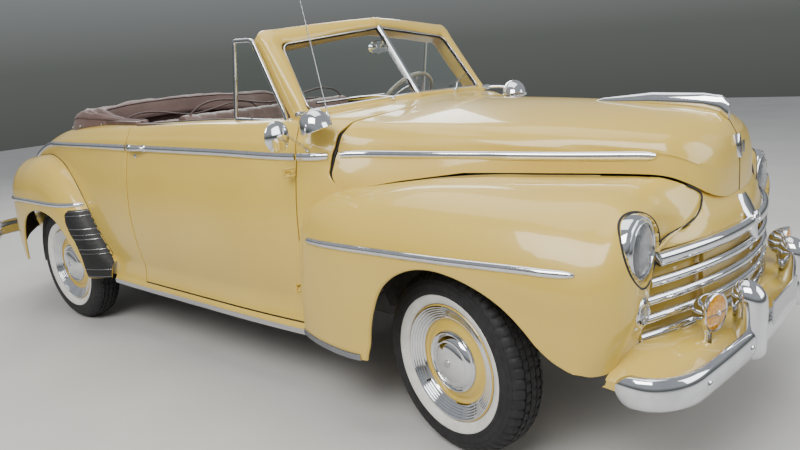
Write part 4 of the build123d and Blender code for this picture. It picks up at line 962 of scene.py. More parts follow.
for side, name in ((1, "left"), (-1, "right")):
    prof = outward(side, True, WIDE_STRIP)
    for tag, x0, x1, skin, body in (("rear", -1868, -488, side_skin, "body"), ("door", -476, 808, side_skin, "door_" + name),
                                    ("cowl", 822, 950, side_skin, "body"), ("hood", 984, 2168, hood_skin, "hood")):
        path = belt_path(x0, x1, skin, side)
        k = np.ones(len(path))
        if tag == "hood":
            k[-3:] = (1, .9, .5)
            k[:2] = (.85, 1)
        if tag == "rear":
            k[:5] = (.15, .5, .75, .92, 1)
        swept("belt_strip_%s_%s" % (tag, name), path, prof, CHROME, body, scale=k)
    # handle: a pull over the strip, its escutcheons and a keyhole
    hx = np.linspace(-452, -300, 26)
    hy = side_skin.y_at(hx, 1088.0)
    off = 6 + 26 * np.sin(np.linspace(0, math.pi, 26)) ** 0.7
    path = np.stack([hx, side * (hy + off + 4), 1088 + 0 * hx], 1)
    swept("door_handle_" + name, path, circle_profile(6.5, 14, 10), CHROME, "door_" + name, scale=np.clip(.65 + .7 * np.sin(np.linspace(0.2, 2.7, 26)), .6, 1.2))
    for tag, x in (("a", -448), ("b", -306)):
        y = side_skin.y_at([x], 1088.0)[0]
        turned_piece("handle_rose_%s_%s" % (tag, name), [(-4, 0), (-4, 20), (8, 20), (13, 15), (15, 0)], (x, side * (y + 1), 1088), (0, side, 0), CHROME, "door_" + name, 28)
    y = side_skin.y_at([-395.0], 1040.0)[0]
    turned_piece("key_lock_" + name, [(-4, 0), (-4, 11), (3, 11), (5, 8), (5, 3), (3, 2.4), (3, 0)], (-395, side * (y + 1), 1046), (0, side, 0), CHROME, "door_" + name, 24)
    # strip along the front fender
    fx = np.linspace(952, 2108, 80)
    fz = pchip((952, 1250, 1560, 1900, 2110), (769, 780, 787, 792, 788), fx)
    rows = hermite(f_knots, fine_cols, fx)
    pts = []
    for r, z in zip(rows, fz):
        low = np.minimum.accumulate(r[:, 2])
        i = int(np.argmax(low <= z))
        t = (r[i - 1, 2] - z) / max(r[i - 1, 2] - r[i, 2], 1e-6)
        pts.append(r[i - 1] + t * (r[i] - r[i - 1]))
    pts = flip_y(arr(pts), side)
    pts[:, 1] += side * 2
    k = np.ones(len(pts))
    k[:3] = (.4, .85, 1)
    k[-3:] = (.95, .8, .4)
    swept("front_fender_strip_" + name, pts, outward(side, True), CHROME, scale=k)
    # and along the rear fender, from the stone guard back
    rows = hermite(r_knots, r_fine, np.linspace(975, 1872, 60))
    pts = []
    for r, z in zip(rows, pchip((970, 1200, 1500, 1872), (750, 752, 754, 738), np.linspace(975, 1872, 60))):
        low = np.minimum.accumulate(r[:, 2])
        i = int(np.argmax(low <= z))
        if i == 0:
            continue
        t = (r[i - 1, 2] - z) / max(r[i - 1, 2] - r[i, 2], 1e-6)
        pts.append(r[i - 1] + t * (r[i] - r[i - 1]))
    pts = flip_y(even(arr(pts), 60), side)
    pts[:, 1] += side * 2
    swept("rear_fender_strip_" + name, pts, outward(side), CHROME, scale=np.concatenate([[.6, .95], np.ones(55), [.95, .8, .4]]))
    # bright edging along the bottom of the front fender, in line with the sill's
    low = front_plain[:, -1]
    low = flip_y(low[(low[:, 0] > 846) & (low[:, 0] < 1256) & (low[:, 2] < 350)], side)
    ribbed = [(0, -13), (3, -13), (4.5, -10), (3, -7), (4.5, -4), (3, -1), (4.5, 2), (3, 5), (4.5, 8), (3, 12), (0, 13)]
    swept("fender_edging_" + name, smooth_line(low + arr((0, side * 2.5, 11)), 50), [(-a * side, b) for a, b in ribbed], STAINLESS)
    # rocker: flared sill under the door and the ribbed strip along it
    xs = np.linspace(-800, 838, 70)
    rows_ = []
    for z, d in ((347, 0), (338, 2), (322, 3), (306, 1), (300, -8), (304, -26)):
        y = side_skin.y_at(xs, np.full(len(xs), max(z, 319.0)))
        rows_.append(np.stack([xs, side * (y + d), 0 * xs + z], 1))
    sheet_of("sill_" + name, np.stack(rows_, 1), PAINT, ref=(0, 0, 330), t=4, edge=1)
    y = side_skin.y_at(xs, np.full(len(xs), 322.0))
    path = np.stack([xs, side * (y + 4), 0 * xs + 314], 1)
    ribbed = [(0, -12), (3, -12), (4.5, -10), (3, -7), (4.5, -4), (3, -1), (4.5, 2), (3, 5), (4.5, 8), (3, 11), (0, 12)]
    swept("sill_strip_" + name, path, [(a * side, b) for a, b in ribbed], STAINLESS, scale=None)

# ---- nose: header panel, bars, apron -----------------------------------------
GAP_SIDE = ((2292, 298, 921), (2288, 322, 876), (2280, 384, 845), (2262, 470, 840), (2248, 540, 828), (2244, 585, 800))
top_line = even(smooth_line([(2323, 0, 898), (2316, 102, 903), (2300, 200, 917), (2281, 282, 944)], 40), 40)
top_line = np.concatenate([top_line, even(smooth_line([(2276, 300, 946), (2282, 314, 905)] + list(GAP_SIDE[2:]), 50), 50)])
top_line = blurred(top_line, 1.2)
ty_ = top_line[:, 1]
by = ty_ * 1.025
bow_x = lambda y: 2384 - 140 * (np.abs(y) / 600.0) ** 2
low_line = np.stack([bow_x(by) - 16, by, 0 * by + 800], 1)
header = []
for t in np.linspace(0, 1, 16):
    r = top_line * (1 - t) + low_line * t
    r[:, 0] += 14 * math.sin(math.pi * min(1, t * 1.0)) * np.clip(1 - ty_ / 560, 0.15, 1)
    header.append(r)
header = pocketed(np.stack(header, 1))
header[0, :, 1] = 0
full = mirrored(header[::-1].transpose(1, 0, 2)).transpose(1, 0, 2)
sheet_of("nose_header", full, PAINT, ref=(2000, 0, 700), t=5, edge=1.2, segments=2)
# painted bowl behind the bars
ys = np.linspace(-642, 642, 81)
bowl = np.stack([np.stack([bow_x(ys) - 44 - 8 * math.sin(t * math.pi), ys * (1 - 0.0 * t), 0 * ys + 812 - t * 306], 1) for t in np.linspace(0, 1, 12)])
bowl = pocketed(bowl)
sheet_of("grille_bowl", bowl, PAINT, ref=(1800, 0, 650), t=4, edge=None)
# side cheeks between the bowl and the fenders
for side, name in ((1, "left"), (-1, "right")):
    a = smooth_line([(2244, 588, 806), (2250, 602, 760), (2248, 622, 700), (2242, 640, 640), (2236, 650, 580), (2232, 652, 522)], 30)
    c = a.copy()
    c[:, 0] -= 40
    c[:, 1] -= 8
    mid = (a + c) / 2
    mid[:, 1] -= 4
    sheet_of("grille_cheek_" + name, flip_y(pocketed(np.stack([a, mid, c])), side), PAINT, ref=(2200, side * 900, 650), t=4, edge=None)

BARS = ((782, 572, 24, 20), (712, 604, 16, 15), (654, 622, 16, 15), (594, 634, 16, 15), (532, 640, 20, 16))   # z, half width, half height, depth
for i, (z, half, hh, depth) in enumerate(BARS):
    n = 90
    s = np.linspace(-1, 1, n)
    y = half * np.sin(s * math.pi / 2)
    path = np.stack([bow_x(y) - depth * 0.3, y, 0 * y + z - 10 * (np.abs(y) / 600) ** 2], 1)
    a = np.linspace(-math.pi / 2, math.pi / 2, 13)
    prof = [(depth * math.cos(t) ** 0.8 if math.cos(t) > 0 else 0, hh * math.sin(t)) for t in a]
    prof = [(-depth * 0.7, -hh * 0.8)] + prof + [(-depth * 0.7, hh * 0.8)]
    k = np.clip((1 - np.abs(s)) / 0.03, 0.25, 1) ** 0.5
    swept("grille_bar_%d" % i, path, prof, CHROME, scale=k)
    if i:
        # two thin ribs along each lower bar
        for dz in (-hh * 0.45, hh * 0.45):
            rib = path[3:-3] + arr([depth * 0.84, 0, dz])
            swept("grille_bar_%d_rib_%d" % (i, dz > 0), rib, circle_profile(1.6, 8), CHROME)
# vertical stays and the central housing with its bare badge
for i, y in enumerate((-330, 330)):
    x = float(bow_x(y))
    joined("grille_stay_%d" % i, [block(x - 40, x - 24, y - 7, y + 7, 512, 790)], PAINT, edge=2)
hz = np.linspace(722, 884, 26)
t = (hz - 722) / 162
hw = 14 + 48 * np.sin(np.clip(t * 1.15, 0, 1) * math.pi / 2) ** 0.8 - 18 * np.clip((t - .8) / .2, 0, 1)
hx_ = np.interp(hz, (722, 800, 884), (2392, 2384, 2342))
prof_t = np.linspace(-1, 1, 25)
house = np.stack([np.stack([x + 16 * np.cos(prof_t * math.pi / 2) ** 0.6 - 8, w * prof_t, 0 * prof_t + z], 1) for x, w, z in zip(hx_, hw, hz)])
sheet_of("grille_housing", house, CHROME, ref=(2200, 0, 800), t=14, edge=2.5)
for i, w in enumerate((16, 30, 44)):
    z0 = 866 - i * 5
    v, f = tube(smooth_line([(2366, -w, z0 - 34), (2384, -w * .75, z0 - 62), (2398, 0, z0 - 86 + i * 2), (2384, w * .75, z0 - 62), (2366, w, z0 - 34)], 40), 2.4, 8)
    joined("housing_line_%d" % i, [(v, f)], CHROME)
turned_piece("housing_badge", [(-4, 0), (-4, 24), (2, 26), (6, 22), (7, 15), (5, 13), (9, 0)], (2394, 0, 800), (1, 0, .12), CHROME, n=40)
# the bare shield on the hood's nose
sy = np.linspace(-1, 1, 17)
shield = np.stack([np.stack([np.interp(z, (1012, 1060, 1100), (2334, 2331, 2324)) - 4 + 7 * np.cos(sy * math.pi / 2) ** .5 - 16 * sy**2 * (w / 30.0), w * sy, 0 * sy + z], 1)
                   for z, w in zip(np.linspace(1012, 1098, 18), 30 * np.sin(np.linspace(0.25, 2.6, 18)) ** 0.6)])
sheet_of("hood_shield", shield, CHROME, "hood", ref=(2200, 0, 1050), t=6, edge=1.2)
for i, y in enumerate((-9, 0, 9)):
    swept("hood_shield_bar_%d" % i, [(2341 - abs(y) * .12, y, 1032), (2341 - abs(y) * .12, y, 1052), (2339 - abs(y) * .12, y, 1076)], circle_profile(2.2, 8), CHROME, "hood", up=(1, 0, 0))
# the long ornament on the crown: a blade that flows from a spear
ox = np.linspace(1780, 2288, 60)
crown_z = np.interp(ox, (1600, 1800, 2000, 2124, 2200, 2256, 2291), (1229, 1218, 1208, 1200, 1192, 1177, 1142))
t = (ox - 1780) / 508
top = np.interp(ox, (1780, 1810, 2007, 2200, 2266, 2288), (1222, 1232, 1250, 1244, 1232, 1212))
wid = 3 + 15 * np.sin(np.clip(t, 0.02, 1) * math.pi * .8) ** .8
rings = []
for x, zc, zt, w in zip(ox, crown_z, top, wid):
    a = np.linspace(0, 2 * math.pi, 20, endpoint=False)
    h = max(4, (zt - zc + 6) / 2)
    rings.append(np.stack([0 * a + x, w * np.cos(a) * (1 - .35 * np.sin(a)), zc - 6 + h + h * np.sin(a)], 1))
v = np.stack(rings)
f = quads(len(ox), 20, close_v=True).tolist() + [list(range(20))[::-1], [(len(ox) - 1) * 20 + i for i in range(20)]]
tidy(make("hood_ornament", v, f, CHROME, "hood", sharp=50))

# apron between grille and bumper
inner = smooth_line([(2372, 0, 506), (2362, 150, 507), (2340, 300, 509), (2304, 440, 514), (2262, 570, 520), (2234, 650, 522)], 60)
outer = smooth_line([(2458, 0, 446), (2454, 200, 444), (2440, 420, 442), (2396, 640, 438), (2330, 760, 438), (2256, 818, 446), (2192, 828, 456)], 60)
apron = []
for t in np.linspace(0, 1, 16):
    r = inner * (1 - t) + outer * t
    r[:, 2] += 16 * math.sin(math.pi * t)
    apron.append(r)
for dz, dx in ((-10, 2), (-24, -2), (-30, -12)):
    r = outer.copy()
    r[:, 2] += dz
    r[:, 0] += dx
    apron.append(r)
apron = np.stack(apron)
apron[:, 0, 1] = 0
full = mirrored(apron[:, ::-1])
sheet_of("front_apron", full, PAINT, ref=(2200, 0, 300), t=5, edge=1.2, segments=2)

# ---- bumpers -------------------------------------------------------------------
blade = [(-10, -50), (0, -53), (9, -46), (15, -30), (19, -12), (20, 6), (17, 26), (10, 43), (1, 51), (-10, 50), (-13, 42), (3, 20), (6, 0), (3, -20), (-13, -42)]


def bumper_line(sign):
    a = arc3((2330, 862), (2412, 786), (2440, 696), 24)
    bb = arc3((2440, 696), (2486, 0), (2440, -696), 90)
    c = arc3((2440, -696), (2412, -786), (2330, -862), 24)
    tip = np.stack([np.linspace(2240, 2330, 8)[:-1], np.linspace(858, 862, 8)[:-1]], 1)
    p = np.concatenate([tip, a[:-1], bb[:-1], c, flip_y(np.c_[tip, 0 * tip[:, :1]], -1)[::-1, :2]])
    return blurred(even(p, 220), 3) * (sign, 1)


for sign, name, zc in ((1, "front", 449), (-1, "rear", 452)):
    p = bumper_line(sign)
    p = np.stack([p[:, 0], p[:, 1], 0 * p[:, 0] + zc], 1)
    if sign > 0:
        p = p[::-1]
    k = np.ones(len(p))
    k[:6] = (.45, .66, .8, .9, .96, 1)
    k[-6:] = k[:6][::-1]
    swept(name + "_bumper_blade", p, blade, CHROME, scale=k, sharp=60)
    for i, y in enumerate((-690, -378, 378, 690)):
        j = int(np.argmin(np.abs(p[:, 1] - y)))
        n_ = p[j] - arr((sign * 900, 0, zc)) * (1, 1, 1)
        n_[2] = 0
        n_ /= np.linalg.norm(n_)
        turned_piece("%s_bumper_bolt_%d" % (name, i), [(0, 0), (0, 15), (4, 15), (8, 11), (10, 0)], p[j] + n_ * 17, n_, CHROME, n=24)
    for i, y in enumerate((-300, 300)):
        z = np.linspace(380, 656, 40)
        t = (z - 380) / 276
        w = 42 * np.sqrt(np.clip(1 - np.clip((.14 - t) / .15, 0, 1) ** 2, .05, 1)) * np.sqrt(np.clip(1 - np.clip((t - .76) / .245, 0, 1) ** 2, .03, 1))
        xc = 2490 - 16 * np.clip((t - .6) / .4, 0, 1) ** 2
        a = np.linspace(0, 2 * math.pi, 32, endpoint=False)
        g = np.stack([np.stack([sign * (x - 30 + (ww * 1.3) * np.sign(np.cos(a)) * np.abs(np.cos(a)) ** .8), y + ww * 1.12 * np.sin(a), 0 * a + zz], 1) for x, ww, zz in zip(xc, w, z)])
        g[..., 0] = np.clip(g[..., 0], -2516.5, 2516.5)
        f = quads(40, 32, close_v=True).tolist() + [list(range(32))[::-1], [39 * 32 + i for i in range(32)]]
        tidy(make("%s_bumper_guard_%d" % (name, i), g, f, CHROME, sharp=60))
    for i, y in enumerate((-378, 378)):
        joined("%s_bumper_bracket_%d" % (name, i), [block(*sorted((sign * 2252, sign * 2470)), y - 9, y + 9, 404, 432)], BLACK, edge=3)
    # a blank plate with its bracket
    joined(name + "_plate_bracket", [block(*sorted((sign * 2496, sign * 2503)), -172, 172, 456, 545)], STAINLESS, edge=2)

# ---- lamps -----------------------------------------------------------------------
for side, name in ((1, "left"), (-1, "right")):
    c = (LAMP_X, side * 665, 825)
    turned_piece("headlamp_bezel_" + name, [(-64, 100), (-64, 104), (-20, 113), (0, 114), (13, 113), (22, 109), (27, 103), (27, 99), (24, 97), (30, 94.5), (34, 90), (34, 86.5), (31, 84.5), (27, 84), (24, 90), (8, 99), (-40, 97)], c, (1, 0, 0), CHROME, n=72, close=True)
    bowl_p = [(-62, 6), (-60, 24), (-52, 52), (-34, 74), (-8, 87), (18, 91)]
    turned_piece("headlamp_reflector_" + name, bowl_p + [(x - 3, r + 2) for x, r in bowl_p[::-1]], c, (1, 0, 0), REFLECTOR, n=64, close=True, sharp=None)
    turned_piece("headlamp_bulb_" + name, [(-58, 0), (-58, 9), (-44, 9), (-40, 6), (-34, 11), (-22, 13), (-12, 9), (-8, 0)], c, (1, 0, 0), LENS, n=28)
    turned_piece("headlamp_lens_" + name, [(26, 0), (26, 30), (24, 60), (20, 86), (24, 88), (33, 72), (40, 44), (43, 0)], c, (1, 0, 0), LENS, n=64)
    c = (2247, side * 690, 634)
    turned_piece("parking_bezel_" + name, [(-46, 42), (-46, 48), (0, 50), (6, 49), (11, 44), (12, 38), (8, 36), (0, 39)], c, (1, 0, 0), CHROME, n=48, close=True)
    turned_piece("parking_back_" + name, [(-34, 0), (-34, 18), (-20, 32), (0, 39), (3, 38), (-18, 30), (-30, 16), (-30, 0)], c, (1, 0, 0), REFLECTOR, n=40)
    turned_piece("parking_lens_" + name, [(4, 0), (4, 37), (8, 38), (14, 28), (18, 14), (19, 0)], c, (1, 0, 0), LENS, n=40)
    # fog lamp: a bullet body with an amber lens on its stalk
    c = (2404, side * 466, 588)
    fa = arr((0.974, -0.226 if side < 0 else 0.0, 0))
    fa /= np.linalg.norm(fa)
    fs = arr((-fa[1], fa[0], 0))
    turned_piece("fog_body_" + name, [(-80, 0), (-79, 12), (-72, 28), (-58, 45), (-38, 56), (-20, 62), (-14, 65), (-2, 65), (0, 62), (-2, 58), (-12, 57), (-12, 0)], c, fa, CHROME, n=56)
    turned_piece("fog_lens_" + name, [(-9, 0), (-9, 56), (-3, 58), (1, 46), (4, 26), (5, 0)], c, fa, AMBER, n=56)
    swept("fog_guard_" + name, [arr(c) + fa * k_ + fs * w_ for k_, w_ in ((1, -57), (5, -30), (8, 0), (5, 30), (1, 57))], circle_profile(2.4, 8), CHROME)
    turned_piece("fog_guard_boss_" + name, [(2, 0), (2, 9), (8, 9), (11, 6), (12, 0)], c, fa, CHROME, n=24)
    turned_piece("fog_stalk_" + name, [(0, 0), (0, 26), (5, 26), (12, 17), (26, 14), (62, 13), (84, 17), (92, 15), (96, 0)], (2376, side * 464, 446), (0, 0, 1), CHROME, n=28)
    # tail lamp: a round chrome bowl with a red lens
    c = (-1950, side * 742, 690)
    turned_piece("tail_bezel_" + name, [(-28, 40), (-28, 46), (10, 50), (34, 50), (42, 47), (46, 42), (42, 39), (30, 42), (0, 42)], c, (-1, 0, 0), CHROME, n=48, close=True)
    turned_piece("tail_lens_" + name, [(26, 0), (26, 41), (40, 41), (48, 32), (53, 16), (54, 0)], c, (-1, 0, 0), RED, n=48)
    # spot lamp on the windshield post, its lens turned down
    down = arr((0.20, -side * 0.16, -0.95))
    down /= np.linalg.norm(down)
    lens = arr((945, side * 752, 1190))
    turned_piece("spot_bowl_" + name, [(-84, 0), (-84, 14), (-80, 28), (-70, 42), (-52, 56), (-30, 64), (-10, 67), (-3, 68), (0, 66), (-2, 61), (-10, 60), (-10, 0)], lens, down, CHROME, n=56)
    turned_piece("spot_lens_" + name, [(-8, 0), (-8, 60), (-2, 61), (2, 44), (4, 20), (4.5, 0)], lens, down, LENS, n=56)
    swept("spot_bracket_" + name, smooth_line([(912, side * 756, 1236), (870, side * 744, 1242), (800, side * 716, 1245)], 14), circle_profile(8, 16), CHROME)
    turned_piece("spot_pivot_" + name, [(-4, 0), (-4, 10), (0, 13), (14, 14), (40, 12), (66, 11), (68, 0)], (800, side * 718, 1246), (-8, -side * 60, 0), CHROME, n=28)
# aerial
turned_piece("aerial_base", [(-8, 0), (-8, 18), (0, 17), (8, 11), (30, 9), (44, 6), (46, 0)], (902, -640, 1206), (-.17, 0, .98), CHROME, n=28)
swept("aerial_rod", [(900, -640, 1230), (814, -640, 1640), (765, -640, 1870), (729, -640, 2044)], circle_profile(2.6, 10), STAINLESS, up=(0, 1, 0), scale=[1, .8, .62, .5])
turned_piece("aerial_tip", [(-4, 0), (-3, 2.5), (0, 3.6), (3, 2.5), (4, 0)], (728.6, -640, 2045), (0, 0, 1), STAINLESS, n=16)
# mirror on its swan arm
swept("mirror_arm", smooth_line([(872, -722, 1090), (880, -760, 1112), (893, -815, 1146), (902, -868, 1176), (905, -905, 1184)], 26), circle_profile(6.5, 14), CHROME, up=(1, 0, 0))
turned_piece("mirror_ball", [(-13, 0), (-11, 8), (-5, 13), (3, 13.5), (9, 10), (13, 0)], (906, -916, 1184), (0, -1, .15), CHROME, n=28)
turned_piece("mirror_base", [(-6, 0), (-6, 22), (3, 21), (10, 14), (20, 8), (26, 0)], (872, -706, 1088), (0, -1, .1), CHROME, n=32)
turned_piece("mirror_shell", [(0, 61), (3, 62), (10, 56), (17, 40), (22, 18), (23, 0), (20, 0), (18, 18), (8, 54), (3, 58), (0, 58)], (900, -925, 1184), (1, 0, 0), CHROME, n=56, close=False)
turned_piece("mirror_glass", [(2, 0), (2, 58), (5, 58), (5, 0)], (899, -925, 1184), (1, 0, 0), MIRROR_FACE, n=56)

# ---- wheels ----------------------------------------------------------------------
XF, XR, REST = 1599.0, -1297.0, math.radians(-11.0)
for name, side, front in (("fl", 1, True), ("fr", -1, True), ("rl", 1, False), ("rr", -1, False)):
    body = "wheel_" + name
    if front:
        axis = arr((-side * math.sin(REST), side * math.cos(REST), 0))
        hub = arr((XF, side * 668.0, 350)) + axis * 68.5
    else:
        axis, hub = arr((0, side, 0)), arr((XR, side * 762.0, 350))
    # tyre with its tread: ribs, and shoulder blocks cut by cross slots
    prof = [(-56, 211, 0), (-57, 224, 0), (-68, 233, 0), (-76, 250, 0), (-80, 270, 0), (-80.5, 286, 0), (-79, 300, 0), (-75, 314, 0), (-68, 327, 1), (-60, 336, 1),
            (-50, 342, 1), (-44, 344.5, 1), (-40, 346, 1), (-39.5, 338, 0), (-34.5, 338, 0), (-34, 347, 2), (-16, 349, 2), (-15.5, 341, 0), (-11.5, 341, 0), (-11, 349.3, 3),
            (11, 349.3, 3), (11.5, 341, 0), (15.5, 341, 0), (16, 349, 2), (34, 347, 2), (34.5, 338, 0), (39.5, 338, 0), (40, 346, 1), (44, 344.5, 1), (50, 342, 1), (60, 336, 1),
            (68, 327, 1), (75, 314, 0), (79, 300, 0), (80.5, 286, 0), (80, 270, 0), (76, 250, 0), (68, 233, 0), (57, 224, 0), (56, 211, 0)]
    n = 280
    ax, ea, eb = basis(axis)
    th = np.linspace(0, 2 * math.pi, n, endpoint=False)
    i = np.arange(n)
    v = []
    for a, r, kind in prof:
        cut = {0: 0 * i, 1: 6.0 * (i % 5 == 0), 2: 5.0 * ((i + 2) % 5 == 0), 3: 3.5 * ((i + 1) % 5 == 0)}[kind]
        if kind == 0 and 240 < r < 325 and a < 0:
            cut = 0 * i
        rad = r - cut
        v.append(hub + a * ax + rad[:, None] * (np.cos(th)[:, None] * ea + np.sin(th)[:, None] * eb))
    tyre = make("tyre_%s_tread" % name, np.stack(v), quads(len(prof), n, close_u=True, close_v=True), RUBBER, body, sharp=30)
    tidy(tyre)
    tyre.data.set_sharp_from_angle(angle=math.radians(30))
    turned_piece("tyre_%s_whitewall" % name, [(60, 222), (65.5, 227), (71, 233), (75.4, 241), (78.4, 250), (80.2, 258), (80, 261.5), (77.2, 262.5), (75, 251), (70, 241), (61, 230)], hub, axis, WHITEWALL, body, 112, close=True, sharp=None)
    for r, a in ((276, 80.4), (300, 79.0), (316, 74.2)):
        turned_piece("tyre_%s_line_%d" % (name, r), [(a - 3, r - 1.6), (a + .6, r - 1.2), (a + .6, r + 1.2), (a - 3, r + 1.6)], hub, axis, RUBBER, body, 96, close=True, sharp=None)
    turned_piece("wheel_%s_rim" % name, [(66.5, 219), (63, 222.5), (57, 211), (48, 206), (40, 193), (-40, 193), (-48, 206), (-57, 211), (-62, 224), (-66, 221), (-60, 203), (-50, 199), (-42, 187), (42, 187), (52, 199), (60, 205)], hub, axis, PAINT, body, 96, close=True)
    turned_piece("wheel_%s_trim_ring" % name, [(64, 218.5), (68.5, 217.5), (70, 213), (67, 208.5), (64.5, 208), (65.5, 204.5), (62, 199.5), (59.5, 199), (60.5, 195.5), (57, 190.5), (54.5, 190), (55.5, 186.5), (52, 181.5), (49.5, 181), (50.5, 177.5), (46.5, 171.5), (44, 171), (44.5, 167.5), (40, 162.5), (36, 162.5), (38, 168), (44, 178), (50, 192), (56, 205), (61, 216)],
                 hub, axis, CHROME, body, 112, close=True, sharp=30)
    turned_piece("wheel_%s_disc" % name, [(40, 172), (35, 166), (30, 159), (29, 150), (32, 142), (38, 134), (42, 126), (43, 117), (41, 104), (38, 96), (37, 60), (32, 60), (33, 98), (36, 106), (38, 117), (37, 125), (33, 132), (27, 140), (24, 150), (25, 161), (30, 170), (36, 176)],
                 hub, axis, PAINT, body, 96, close=True, sharp=None)
    turned_piece("wheel_%s_cap" % name, [(41, 118.5), (47, 118), (51.5, 115), (53, 110.5), (51, 106), (48, 104), (48.5, 101), (53.5, 97), (59, 89), (62.5, 80), (62, 76.5), (66, 70), (69.5, 58), (72, 44), (74.4, 26), (75.8, 12), (76.3, 0), (60, 0), (50, 60), (43, 98), (39, 112)], hub, axis, CHROME, body, 88, close=True, sharp=30)
    turned_piece("wheel_%s_cap_centre" % name, [(74, 0), (74, 15), (77.5, 15), (78.5, 11), (79, 0)], hub, axis, STAINLESS, body, 40)
    turned_piece("wheel_%s_drum" % name, [(-37, 136), (-37, 147), (-30, 147), (-30, 144), (-10, 144), (-10, 147), (-4, 147), (-4, 144), (18, 144), (22, 140), (22, 45), (14, 45), (14, 136)], hub, axis, BLACK, body, 64, close=True)
    turned_piece("wheel_%s_hub" % name, [(-36, 22.2), (-36, 40), (-30, 58), (30, 60), (36, 56), (36, 22.2)], hub, axis, BLACK, body, 48, close=True)
    vd = (math.cos(.7) * ea + math.sin(.7) * eb)
    turned_piece("wheel_%s_valve" % name, [(0, 0), (0, 4.5), (20, 4.5), (22, 3.4), (34, 3.4), (34, 0)], hub + vd * 176 + axis * 30, axis, TRIM_RUBBER, body, 16)

# ---- windshield --------------------------------------------------------------------
base_c, base_k, top_c = arr((871.0, 0, 1264)), arr((784.0, 640, 1246)), arr((634.0, 0, 1606))
along = (base_k - base_c) / np.linalg.norm(base_k - base_c)
rise = top_c - base_c
rise = rise - along * (rise @ along)
WSH = float(np.linalg.norm(rise))
rise = rise / WSH
WSW = float(np.linalg.norm(base_k - base_c))
normal = np.cross(along, rise)
normal = normal if normal[0] > 0 else -normal


def pane(s, h, d=0.0):
    s, h = np.broadcast_arrays(arr(s), arr(h))
    return base_c + s[..., None] * along + h[..., None] * rise + d * normal


def rounded(corners, radii, n=8):
    """Polyline with rounded corners; corners 2-D, closed."""
    out, m = [], len(corners)
    for i in range(m):
        p, a, c = arr(corners[i]), arr(corners[i - 1]), arr(corners[(i + 1) % m])
        u, w = (a - p) / np.linalg.norm(a - p), (c - p) / np.linalg.norm(c - p)
        r = radii[i]
        p0, p1 = p + u * r, p + w * r
        for t in np.linspace(0, 1, n):
            out.append((1 - t) ** 2 * p0 + 2 * t * (1 - t) * p + t**2 * p1)
    return arr(out)


def section(points, n):
    return even(arr(points), n)[:-1]


outer_h = np.concatenate([section([(0, -27), (400, -28), (610, -32)], 40), section(arc3((610, -32), (684, -34), (690, 26), 12), 14),
                          section([(690, 26), (693, 140), (696, 280), (698, 366)], 26), section(arc3((698, 366), (697, 416), (648, 431), 12), 14),
                          section([(648, 431), (400, 445), (180, 453), (0, 456)], 44), arr([(0, 456)])])
inner_h = np.concatenate([section([(0, 8), (400, 8), (600, 8)], 40), section(arc3((600, 8), (643, 8), (640, 46), 12), 14),
                          section([(640, 46), (631, 120), (621, 200), (614, 300)], 26), section(arc3((614, 300), (611, 348), (564, 353), 12), 14),
                          section([(564, 353), (300, 382), (140, 396), (0, 402)], 44), arr([(0, 402)])])
outer_h, inner_h = blurred(outer_h, 1.2), blurred(inner_h, 1.2)
outer_h[0, 0] = outer_h[-1, 0] = inner_h[0, 0] = inner_h[-1, 0] = 0
back_d = np.interp(outer_h[:, 1], (-30, 0, 30, 200), (-34, -40, -72, -76))
gasket_h = rounded([(10, 10), (641, 10), (612, 348), (10, 399)], [10, 34, 50, 10], 10)
